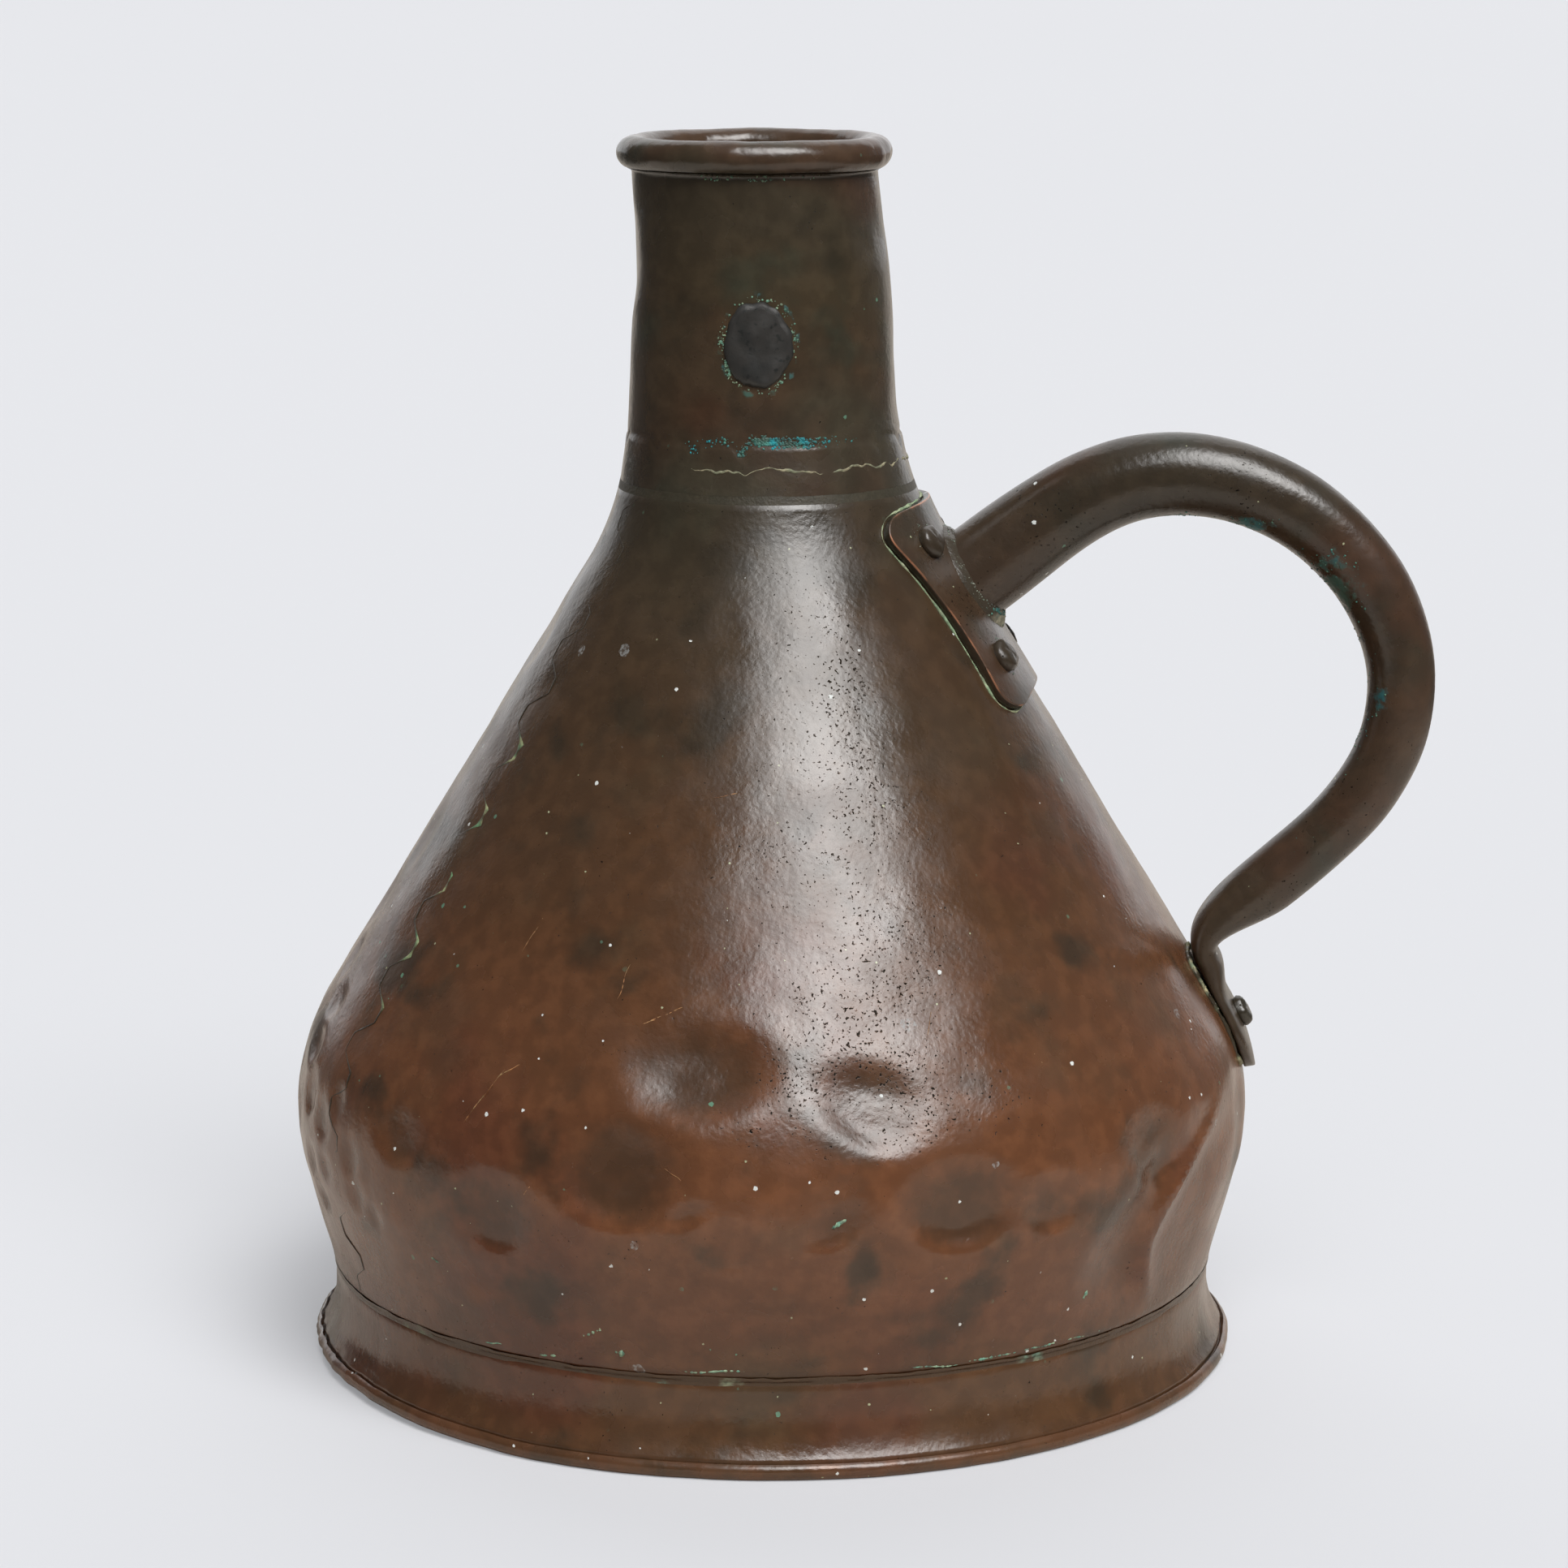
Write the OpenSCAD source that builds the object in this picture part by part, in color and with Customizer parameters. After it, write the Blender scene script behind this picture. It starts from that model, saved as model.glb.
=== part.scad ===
// Copper haystack measure: a one gallon conical spirit measure made from sheet.
// The cone is closed by a dovetailed seam, the lip and foot are rolled over wire,
// and a hollow handle runs from a riveted saddle plate to a flattened tang.
// The vessel axis is Z, the table is z = 0 and the handle lies along +X.

/* [Body] */
// Thickness of the body sheet
body_wall = 1.1; // [0.8:0.1:1.8]
// Radius at the widest part of the body
bulge_r = 116.7; // [113:0.1:122]
// Height of the widest part above the table
bulge_z = 61; // [57:0.5:66]
// Depth of the waist, just above the foot, inside the bulge
waist_in = 8.7; // [6:0.1:12]
// Height at which the waist runs straight up
waist_z = 16; // [14:0.5:18]
// How much of the run from waist to bulge is bent, 1 being all of it
swell_bent = 0.8; // [0.6:0.01:0.95]
// Share of that bend that is in the bulge
bulge_share = 0.52; // [0.4:0.01:0.65]

/* [Neck] */
// Height over the lip
height = 296; // [286:1:310]
// Thickness of the neck sheet
neck_wall = 1.1; // [0.8:0.1:1.8]
// Outer radius where the neck starts to run straight
neck_foot_r = 32.1; // [29:0.1:36]
// Height where the neck starts to run straight
neck_foot_z = 233; // [228:0.5:238]
// Outer radius under the lip
neck_top_r = 29.4; // [26:0.1:34]
// Profile radius of the hollow between cone and neck
cove_bend = 80; // [64:1:96]
// Lower edge of the neck skirt, lapped over the cone
skirt_z = 214; // [211:0.5:217]
// Top of the cone's collar inside the neck
collar_z = 225.5; // [222:0.5:229]
// Thickness of the brazing in the lap
braze_gap = 0.3; // [0.2:0.1:0.5]

/* [Lip] */
// Diameter of the rolled lip
lip_d = 8; // [7:0.1:9.5]
// Diameter of the wire inside the lip
rim_wire_d = 5.6; // [4:0.1:6]
// Mouth diameter, worn to a short straight land
mouth_d = 50; // [48.6:0.1:51.5]
// Opening left where the rolled edge meets the neck
lip_gap = 0.4; // [0.2:0.1:0.8]

/* [Foot] */
// Thickness of the foot band
foot_wall = 1.1; // [0.8:0.1:1.6]
// How far the foot bead stands out from the waist
foot_out = 5.5; // [4.5:0.1:10]
// Diameter of the rolled foot bead
foot_bead_d = 4.2; // [4:0.1:5.5]
// Diameter of the wire inside the foot bead
foot_wire_d = 1.9; // [1.2:0.1:2.2]
// Depth that wear has taken off the underside
foot_wear = 0.1; // [0.05:0.01:0.3]
// Top edge of the foot band, where it meets the body
foot_seam_z = 21.6; // [20:0.1:24]
// Overlap of the body inside the foot band
foot_lap = 8; // [5:0.5:10]

/* [Bottom] */
// Thickness of the bottom
bottom_wall = 1.2; // [0.8:0.1:2]
// Height of the rim of the bottom above the foot seam
bottom_rise = 4.4; // [4.2:0.1:8]
// Rise of the bottom at its middle
bottom_crown = 13; // [8:0.5:20]
// Bend between the bottom and its turned down flange
bottom_bend = 4; // [3:0.5:4]
// Width and height of the solder fillet around the bottom
bottom_fillet = 1.2; // [0.8:0.1:2.5]

/* [Seams] */
// Side of the body seam, from the handle
seam_angle = 212; // [120:1:240]
// Height taken by one dovetail and its gap
seam_pitch = 15; // [12:1:20]
// Depth of a dovetail
seam_depth = 7; // [4:0.5:10]
// Width of the brazing in the body seam
seam_w = 1.4; // [0.8:0.1:2]
// Side of the neck and foot seams, from the handle
back_seam_angle = 90; // [60:1:120]
// Width of the brazing in the neck and foot seams
back_seam_w = 1; // [0.6:0.1:1.6]

/* [Gauge plug] */
// Side of the plug, from the handle
plug_angle = 273; // [250:1:290]
// Height of the middle of the plug
plug_z = 249; // [246:0.5:262]
// Width of the plug's face
plug_w = 16; // [12:0.5:20]
// Height of the plug's face
plug_h = 20; // [16:0.5:24]
// How far the face is spread beyond the hole
plug_spread = 2; // [1:0.1:3]
// Thickness of the face outside the neck
plug_proud = 0.9; // [0.4:0.1:1.6]
// Thickness of the clench inside the neck
plug_clench = 1.2; // [0.6:0.1:2]

/* [Handle] */
// Sheet thickness of the hollow handle
handle_wall = 1.4; // [1:0.1:2.2]
// Height where the handle leaves the cone
root_z = 189; // [185:0.5:192]
// Rise of the handle where it leaves the cone
root_angle = 35; // [26:1:40]
// Diameter at the root
root_d = 23; // [19:0.2:25]
// Reach of the handle's highest point from the vessel axis
apex_x = 98; // [90:0.5:106]
// Height of the handle's highest point, on its middle line
apex_z = 216; // [208:0.5:222]
// Diameter at the highest point
apex_d = 19.8; // [17:0.2:22]
// Furthest reach of the middle line
reach_x = 152; // [144:0.5:160]
// Height of the furthest reach
reach_z = 165; // [158:0.5:172]
// Diameter at the furthest reach
reach_d = 16.2; // [14:0.2:19]
// Reach of the middle line where it turns in to the body
heel_x = 122; // [120:0.5:128]
// Height where it turns in to the body
heel_z = 117; // [113:0.5:120]
// Slope of the handle where it turns in
heel_angle = 40; // [34:1:46]
// Diameter where it turns in
heel_d = 15.2; // [14:0.2:18]
// Height where the tube first lies on the body
tang_top_z = 97.5; // [95:0.5:100]
// Thickness of the tube where it first lies on the body
tang_neck_t = 6; // [5:0.2:10]
// Tip of the flattened tang
tang_tip_z = 70.5; // [66:0.5:73]
// Thickness of the tang
tang_t = 2.8; // [2.2:0.1:4]
// Width of the tang
tang_w = 22; // [18:0.5:26]
// Thickness of the solder under the tang
tang_seat = 0.4; // [0.3:0.1:0.8]

/* [Saddle plate] */
// Thickness of the plate
saddle_t = 2.2; // [1.4:0.1:3]
// Width across the lobes
saddle_w = 60; // [54:1:62]
// Length of the plate above the handle's middle
saddle_up = 26.5; // [23:0.5:28]
// Length of the plate below the handle's middle
saddle_down = 31; // [28:0.5:32]
// Corner radius of the lobes
saddle_corner = 11; // [8:0.5:13]
// Depth of the waist in each side
saddle_waist = 4.6; // [2:0.1:6]
// Depth of the dip in the upper edge
saddle_dip = 2; // [1:0.1:6]
// Depth of the hollow in the lower edge
saddle_hollow = 1.4; // [1:0.1:5]
// Height of the brazed fillet around the handle root
fillet_h = 1.8; // [1:0.1:4]
// Width of the brazed fillet around the handle root
fillet_w = 2.4; // [1.5:0.1:3.5]

/* [Rivets] */
// Diameter of the rivet shanks
rivet_d = 4; // [3:0.1:5]
// Diameter of the outer heads
rivet_head_d = 7.2; // [5.4:0.1:8]
// Height of the outer heads
rivet_head_h = 2.4; // [1.5:0.1:3.5]
// Diameter of the flat heads inside the vessel
rivet_inner_d = 9; // [7:0.1:11]
// Thickness of the flat heads inside the vessel
rivet_inner_t = 1.2; // [0.8:0.1:2]
// Side of the upper rivets from the handle, along the vessel's round
rivet_up_angle = 25; // [22:0.5:28]
// Height of the upper rivets
rivet_up_z = 199.5; // [197:0.5:201]
// Side of the lower rivets from the handle, along the vessel's round
rivet_low_angle = 17.5; // [15:0.5:20]
// Height of the lower rivets
rivet_low_z = 172; // [170:0.5:174]
// Height of the tang rivet
tang_rivet_z = 81.5; // [78:0.5:85]

/* [Hidden] */
$fn = 96;
// Places along one tooth of the dovetailed seam, as shares of its pitch
seam_marks = [0.02, 0.26, 0.50, 0.74];
// Reach of the curves between the handle's stations
handle_pull = 0.37;
// Shares of the tang: its width at the top, its pressed length, where its tip starts to round
tang_narrow = 0.86;
tang_pressed = 0.36;
tang_round = 0.6;
tang_blunt = 0.02;
tang_steps = 14;

copper = "#6b4a33";
dark_copper = "#4a3a2a";
spelter = "#b8a868";
lead = "#5f6466";
solder = "#b9b59c";
iron = "#55504a";

// Height over which a lapped sheet is set in
joggle = 2;
// Radial room between a rolled edge and its wire
wire_fit = 0.05;
// Length by which a cut runs past what it cuts
over = 1;
// Sides of the handle's section and steps along each of its curves
handle_sides = 28;
handle_steps = 9;
// Sides of the thin fillet around the handle root
fillet_sides = 360;

// Outer profile of the vessel: hollow waist, round bulge, straight cone, hollow cove, straight neck.
// Each function takes a depth d under the outer skin, so every sheet and layer follows the same line.
waist_r = bulge_r - waist_in;
neck_top_z = height - lip_d;
neck_lean = atan((neck_foot_r - neck_top_r) / (neck_top_z - neck_foot_z));
swell = [bulge_r - waist_r, bulge_z - waist_z];
swell_bend = swell_bent * (pow(swell[0], 2) + pow(swell[1], 2)) / (2 * swell[0]);
bulge_bend = swell_bend * bulge_share;
waist_bend = swell_bend - bulge_bend;
waist_c = [waist_r + waist_bend, waist_z];
bulge_c = [bulge_r - bulge_bend, bulge_z];
cove_c = [neck_foot_r + cove_bend * cos(neck_lean), neck_foot_z + cove_bend * sin(neck_lean)];

// Lean from the vertical of the straight line that joins two opposite bends
function tangent_lean(from, to, bends) =
    let (run = to - from) atan2(run[1], run[0]) - acos(bends / norm(run));
flare = -tangent_lean([-waist_c[0], waist_c[1]], [-bulge_c[0], bulge_c[1]], waist_bend + bulge_bend);
cone_lean = tangent_lean(bulge_c, cove_c, bulge_bend + cove_bend);

function waist_top(d) = waist_z - (waist_bend + d) * sin(flare);
function bulge_low(d) = bulge_z + (bulge_bend - d) * sin(flare);
function bulge_top(d) = bulge_z + (bulge_bend - d) * sin(cone_lean);
function cove_low(d) = cove_c[1] - (cove_bend + d) * sin(cone_lean);
function cove_top(d) = cove_c[1] - (cove_bend + d) * sin(neck_lean);
function waist_at(z, d) = waist_c[0] - sqrt(pow(waist_bend + d, 2) - pow(z - waist_z, 2));
function bulge_at(z, d) = bulge_c[0] + sqrt(pow(bulge_bend - d, 2) - pow(z - bulge_z, 2));
function cove_at(z, d) = cove_c[0] - sqrt(pow(cove_bend + d, 2) - pow(z - cove_c[1], 2));

function skin_r(z, d) =
    z < waist_z ? waist_r - d :
    z < waist_top(d) ? waist_at(z, d) :
    z < bulge_low(d) ? waist_at(waist_top(d), d) - (z - waist_top(d)) * tan(flare) :
    z < bulge_top(d) ? bulge_at(z, d) :
    z < cove_low(d) ? bulge_at(bulge_top(d), d) - (z - bulge_top(d)) * tan(cone_lean) :
    z < cove_top(d) ? cove_at(z, d) :
    cove_at(cove_top(d), d) - (z - cove_top(d)) * tan(neck_lean);

// Lean of the skin from the vertical, on the bulge, the cone and the cove
function skin_lean(z) =
    z < bulge_top(0) ? asin((z - bulge_z) / bulge_bend) :
    z < cove_low(0) ? cone_lean :
    asin((cove_c[1] - z) / cove_bend);

function steps(from, to, count) = [for (i = [0:count]) from + (to - from) * i / count];
function bends(d) = concat(steps(waist_z, waist_top(d), 4), steps(bulge_low(d), bulge_top(d), 14),
    steps(cove_low(d), cove_top(d), 8));
function levels(d, low, high) = concat([low],
    [for (z = bends(d)) if (z > low + 0.2 && z < high - 0.2) z], [high]);
function skin_line(d, low, high) = [for (z = levels(d, low, high)) [skin_r(z, d), z]];
function reverse(list) = [for (i = [len(list) - 1:-1:0]) list[i]];

// A revolved layer of the vessel between two depths under the skin
module skin_layer(outside, inside, low, high) {
    rotate_extrude() polygon(concat(skin_line(outside, low, high), reverse(skin_line(inside, low, high))));
}

// Everything inside a depth under the skin, from the axis out
module skin_core(d, low, high) {
    rotate_extrude() polygon(concat([[0, low]], skin_line(d, low, high), [[0, high]]));
}

// Places its children on the skin, with their +Z square to it and their -X up the slope
module on_skin(turn, z) {
    rotate(turn) translate([skin_r(z, 0), 0, z]) rotate([0, 90 - skin_lean(z), 0]) children();
}

// Body: the sheet runs from its lap in the foot to its collar in the neck
lap_low = foot_seam_z - foot_lap;
lap_r = waist_r - foot_wall;
collar_d = neck_wall + braze_gap;

module body_outline() {
    outer = concat([[lap_r, lap_low], [lap_r, foot_seam_z]],
        skin_line(0, foot_seam_z + joggle, skirt_z - joggle), skin_line(collar_d, skirt_z, collar_z));
    inner = concat([[lap_r - body_wall, lap_low], [lap_r - body_wall, foot_seam_z]],
        skin_line(body_wall, foot_seam_z + joggle, skirt_z - joggle),
        skin_line(collar_d + body_wall, skirt_z, collar_z));
    polygon(concat(outer, reverse(inner)));
}

// The dovetailed line on which the two edges of the cone meet
function dovetail_line(side) = [for (z = [lap_low - over:seam_pitch:collar_z + seam_pitch], k = [0:3])
    [(k == 0 || k == 3 ? -1 : 1) * seam_depth / 2 + side * seam_w / 2,
        z + seam_pitch * seam_marks[k]]];

module seam_cut() {
    rotate(seam_angle) translate([neck_foot_r / 3, 0, 0]) rotate([90, 0, 90])
        linear_extrude(bulge_r)
        polygon(concat(dovetail_line(-1), reverse(dovetail_line(1))));
}

module rivet_holes() {
    for (side = [-1, 1]) {
        on_skin(side * rivet_up_angle, rivet_up_z) rivet_hole();
        on_skin(side * rivet_low_angle, rivet_low_z) rivet_hole();
    }
}

module rivet_hole() {
    cylinder(d = rivet_d, h = 4 * root_d / 3, center = true);
}

module tang_hole() {
    on_skin(0, tang_rivet_z) rivet_hole();
}

module body_shell() color(copper) difference() {
    rotate_extrude() body_outline();
    seam_cut();
    rivet_holes();
    tang_hole();
}

module body_seam_braze() color(spelter) intersection() {
    rotate_extrude() body_outline();
    seam_cut();
}

// Neck: a straight seamed tube with a skirt below and a lip rolled over wire above
lip_r = skin_r(neck_top_z, neck_wall / 2);
lip_z = height - lip_d / 2;
roll_d = rim_wire_d + 2 * wire_fit;
wall_top_z = lip_z - (lip_d + roll_d) / 4;

module lip_roll() {
    difference() {
        translate([lip_r, lip_z]) circle(d = lip_d);
        translate([lip_r, lip_z]) circle(d = roll_d);
        translate([0, lip_z - lip_d]) square([mouth_d / 2, 2 * lip_d]);
        translate([lip_r, lip_z]) rotate(-55) square([lip_d, lip_gap]);
    }
}

module neck_sheet() {
    rotate_extrude() {
        polygon(concat(skin_line(0, skirt_z, wall_top_z),
            reverse(skin_line(neck_wall, skirt_z, wall_top_z))));
        lip_roll();
    }
}

module back_seam_cut(low, high, radius) {
    rotate(back_seam_angle) translate([radius / 2, -back_seam_w / 2, low])
        cube([radius, back_seam_w, high - low]);
}

module neck_seam_cut() {
    back_seam_cut(skirt_z - over, neck_top_z - over, skin_r(skirt_z, 0));
}

module plug_shape(spread) {
    w = plug_w - 2 * spread;
    h = plug_h - 2 * spread;
    rotate(plug_angle) translate([0, 0, plug_z]) rotate([90, 0, 90]) linear_extrude(2 * neck_foot_r) {
        square([w, h - w], center = true);
        for (side = [-1, 1]) translate([0, side * (h - w) / 2]) circle(d = w);
    }
}

module plug_layer(outside, inside) {
    skin_layer(outside, inside, plug_z - plug_h, min(plug_z + plug_h, wall_top_z));
}

module neck_tube() color(dark_copper) difference() {
    neck_sheet();
    neck_seam_cut();
    plug_shape(plug_spread);
}

module neck_seam_braze() color(spelter) intersection() {
    neck_sheet();
    neck_seam_cut();
}

module neck_joint_braze() color(spelter) {
    rotate_extrude() polygon(concat(
        [[skin_r(skirt_z - joggle, 0), skirt_z - joggle], [skin_r(skirt_z, 0), skirt_z]],
        skin_line(neck_wall, skirt_z, collar_z), reverse(skin_line(collar_d, skirt_z, collar_z))));
}

module rim_wire() color(iron) {
    rotate_extrude() translate([lip_r, lip_z]) circle(d = rim_wire_d);
}

module gauge_plug() color(lead) {
    intersection() {
        plug_shape(0);
        plug_layer(-plug_proud, 0);
    }
    intersection() {
        plug_shape(plug_spread);
        plug_layer(-plug_proud / 2, neck_wall + plug_clench / 2);
    }
    intersection() {
        plug_shape(0);
        plug_layer(neck_wall, neck_wall + plug_clench);
    }
}

// Foot: a flared band lapped over the body, with its edge rolled over wire
foot_r = waist_r + foot_out;
bead_r = foot_r - foot_bead_d / 2;
bead_z = foot_bead_d / 2 - foot_wear;
bead_roll_d = foot_wire_d + 2 * wire_fit;
band_r = waist_r - foot_wall / 2;
band_end = [bead_r, bead_z + (foot_bead_d + bead_roll_d) / 4];
band_run = [band_end[0] - band_r, waist_z - band_end[1]];
band_bend = (pow(band_run[0], 2) + pow(band_run[1], 2)) / (2 * band_run[0]);
band_sweep = asin(band_run[1] / band_bend);

bead_flat = acos(2 * bead_z / foot_bead_d);
// Half the turn of the bead that the band covers
bead_join = 30;
// Share of the flare that the band's inner face runs before the bead
band_inner = 0.86;

function band_line(side, ends) = [for (turn = steps(0, band_sweep * ends, 8))
    [band_r + band_bend, waist_z] - (band_bend + side * foot_wall / 2) * [cos(turn), sin(turn)]];
function bead_arc(from, to) = [for (turn = steps(from, to, 12))
    [bead_r, bead_z] + foot_bead_d / 2 * [cos(turn), sin(turn)]];

module foot_sheet() {
    rotate_extrude() difference() {
        polygon(concat([[waist_r - foot_wall, foot_seam_z], [waist_r, foot_seam_z]], band_line(-1, 1),
            bead_arc(90 - bead_join, bead_flat - 90), bead_arc(-90 - bead_flat, bead_join - 270),
            reverse(band_line(1, band_inner))));
        translate([bead_r, bead_z]) circle(d = bead_roll_d);
    }
}

module foot_seam_cut() {
    back_seam_cut(bead_z + foot_bead_d, foot_seam_z + over, foot_r);
}

module foot_band() color(copper) difference() {
    foot_sheet();
    foot_seam_cut();
}

module foot_seam_braze() color(spelter) intersection() {
    foot_sheet();
    foot_seam_cut();
}

module foot_wire() color(iron) {
    rotate_extrude() translate([bead_r, bead_z]) circle(d = foot_wire_d);
}

module foot_solder() color(solder) {
    rotate_extrude() polygon([[lap_r, foot_seam_z], [waist_r, foot_seam_z],
        [skin_r(foot_seam_z + joggle, 0), foot_seam_z + joggle]]);
}

// Bottom: a crowned disc with its flange turned down inside the body
pan_r = lap_r - body_wall;
bottom_z = foot_seam_z + bottom_rise;
pan_bend_r = pan_r - bottom_bend;
crown_bend = (pow(pan_bend_r, 2) + pow(bottom_crown, 2)) / (2 * bottom_crown);

function crown_at(r) = bottom_z + bottom_crown - crown_bend + sqrt(pow(crown_bend, 2) - pow(r, 2));
function pan_bend_line(d) = [for (turn = steps(0, 90, 6))
    [pan_bend_r, bottom_z - bottom_bend] + (bottom_bend - d) * [cos(turn), sin(turn)]];
function pan_line(d) = concat([[pan_r - d, lap_low]], pan_bend_line(d),
    [for (r = steps(pan_bend_r, 0, 8)) if (r < pan_bend_r) [r, crown_at(r) - d]]);

module pan_outline() {
    polygon(concat(pan_line(0), reverse(pan_line(bottom_wall))));
}

module bottom_pan() color(copper) {
    rotate_extrude() pan_outline();
}

module bottom_solder() color(solder) {
    fillet_r = pan_bend_r - bottom_fillet;
    rotate_extrude() polygon(concat([[pan_r, foot_seam_z]],
        skin_line(body_wall, foot_seam_z + joggle, bottom_z + bottom_fillet),
        [[fillet_r, crown_at(fillet_r)]], reverse(pan_bend_line(0))));
}

// Handle: a hollow loft along four curves, round at its root and flat at its tang
// The tang follows the skin, and is pressed from its neck thickness to its flat in its first third
function tang_thick(t) = mix(tang_neck_t, tang_t, ease(min(t / tang_pressed, 1)));
function tang_path(t) = let (z = mix(tang_top_z, tang_tip_z, t))
    [skin_r(z, -tang_seat - tang_thick(t) / 2), z];
function tang_half_w(t) = (mix(tang_w * tang_narrow, tang_w, ease(min(t / tang_pressed, 1)))) / 2
    * (t < tang_round ? 1 : sqrt(1 + tang_blunt - pow((t - tang_round) / (1 - tang_round), 2)));
tang_dir = [sin(skin_lean(tang_top_z)), -cos(skin_lean(tang_top_z))];
root_dir = [cos(root_angle), sin(root_angle)];
heel_dir = [-cos(heel_angle), -sin(heel_angle)];
root_p = [skin_r(root_z, body_wall), root_z];
apex_p = [apex_x, apex_z];
reach_p = [reach_x, reach_z];
heel_p = [heel_x, heel_z];
tang_p = tang_path(0);

// A curve from one point to another that leaves and arrives in the given directions
function curve(from, out, to, in, t) = let (pull = handle_pull * norm(to - from))
    pow(1 - t, 3) * from + 3 * t * pow(1 - t, 2) * (from + pull * out)
    + 3 * t * t * (1 - t) * (to - pull * in) + pow(t, 3) * to;
function ease(t) = t * t * (3 - 2 * t);
function mix(a, b, t) = a + (b - a) * t;
ts = [for (i = [0:handle_steps - 1]) i / handle_steps];

// Each station is its middle point, its half thickness, its half width and its squareness
stations = concat(
    [for (t = ts) [curve(root_p, root_dir, apex_p, [1, 0], t),
        mix(root_d, apex_d, t) / 2, mix(root_d, apex_d, t) / 2, 2]],
    [for (t = ts) [curve(apex_p, [1, 0], reach_p, [0, -1], t),
        mix(apex_d, reach_d, t) / 2, mix(apex_d, reach_d, t) / 2, 2]],
    [for (t = ts) [curve(reach_p, [0, -1], heel_p, heel_dir, t),
        mix(reach_d, heel_d, t) / 2, mix(reach_d, heel_d, t) / 2, 2]],
    [for (t = ts) [curve(heel_p, heel_dir, tang_p, tang_dir, t),
        mix(heel_d, tang_neck_t, ease(t)) / 2, mix(heel_d, tang_w * tang_narrow, ease(t)) / 2, mix(2, 3, t)]],
    [for (t = steps(0, 1, tang_steps))
        [tang_path(t), tang_thick(t) / 2, tang_half_w(t), mix(3, 4, min(t / tang_pressed, 1))]]);
last = len(stations) - 1;
// The bore stops where the tube is pressed flat
bore_end = 4 * handle_steps + 1;

function heading(i) = let (step = stations[min(i + 1, last)][0] - stations[max(i - 1, 0)][0])
    step / norm(step);
function bent(value, power) = sign(value) * pow(abs(value), 2 / power);
function ring(i, depth) = let (s = stations[i], h = i == 0 ? root_dir : heading(i))
    [for (k = [0:handle_sides - 1]) let (a = -360 * (k + 0.5) / handle_sides,
        u = (s[1] - depth) * bent(cos(a), s[3]), v = (s[2] - depth) * bent(sin(a), s[3]))
        [s[0][0] - u * h[1], v, s[0][1] + u * h[0]]];

// Skins a row of rings, closed at both ends
module loft(rings) {
    n = handle_sides;
    count = len(rings);
    polyhedron([for (r = rings, p = r) p], concat(
        [[for (k = [0:n - 1]) k]],
        [for (i = [0:count - 2], k = [0:n - 1]) [i * n + k, (i + 1) * n + k, i * n + (k + 1) % n]],
        [for (i = [0:count - 2], k = [0:n - 1])
            [i * n + (k + 1) % n, (i + 1) * n + k, (i + 1) * n + (k + 1) % n]],
        [[for (k = [n - 1:-1:0]) (count - 1) * n + k]]));
}

module handle_tube() color(dark_copper) difference() {
    loft([for (i = [0:last]) ring(i, 0)]);
    loft([for (i = [0:bore_end]) ring(i, handle_wall)]);
    skin_core(-saddle_t, root_z - root_d, root_z + root_d);
    tang_hole();
}

// Saddle plate: shaped to the cone, four lobed, with the handle brazed on its middle
module saddle_outline() {
    length = saddle_up + saddle_down;
    side_bend = (pow(length / 2, 2) + pow(saddle_waist, 2)) / (2 * saddle_waist);
    dip_bend = (pow(saddle_w / 2, 2) + pow(saddle_dip, 2)) / (2 * saddle_dip);
    hollow_bend = (pow(saddle_w / 2, 2) + pow(saddle_hollow, 2)) / (2 * saddle_hollow);
    difference() {
        translate([(saddle_down - saddle_up) / 2, 0]) {
            square([length - 2 * saddle_corner, saddle_w], center = true);
            square([length, saddle_w - 2 * saddle_corner], center = true);
            for (x = [-1, 1], y = [-1, 1])
                translate([x * (length / 2 - saddle_corner), y * (saddle_w / 2 - saddle_corner)])
                    circle(r = saddle_corner);
        }
        for (side = [-1, 1])
            translate([0, side * (saddle_w / 2 + side_bend - saddle_waist)]) circle(r = side_bend);
        translate([-saddle_up - dip_bend + saddle_dip, 0]) circle(r = dip_bend);
        translate([saddle_down + hollow_bend - saddle_hollow, 0]) circle(r = hollow_bend);
    }
}

module handle_saddle() color(copper) difference() {
    intersection() {
        skin_layer(-saddle_t, 0, root_z - 2 * saddle_down, root_z + 2 * saddle_up);
        on_skin(0, root_z) translate([0, 0, -saddle_w / 2]) linear_extrude(saddle_w) saddle_outline();
    }
    rivet_holes();
}

module saddle_fillet() color(solder) difference() {
    $fn = fillet_sides;
    root_base = [root_p[0], 0, root_p[1]];
    seat = (saddle_t + body_wall) / cos(root_angle - cone_lean);
    translate(root_base) rotate([0, 90 - root_angle, 0]) difference() {
        cylinder(r1 = root_d / 2 + fillet_w + saddle_t + body_wall, r2 = root_d / 2 + 0.3,
            h = seat + fillet_h);
        translate([0, 0, -over]) cylinder(d = root_d, h = seat + fillet_h + 2 * over);
    }
    skin_core(-saddle_t, root_z - 2 * root_d, root_z + 2 * root_d);
}

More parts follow.
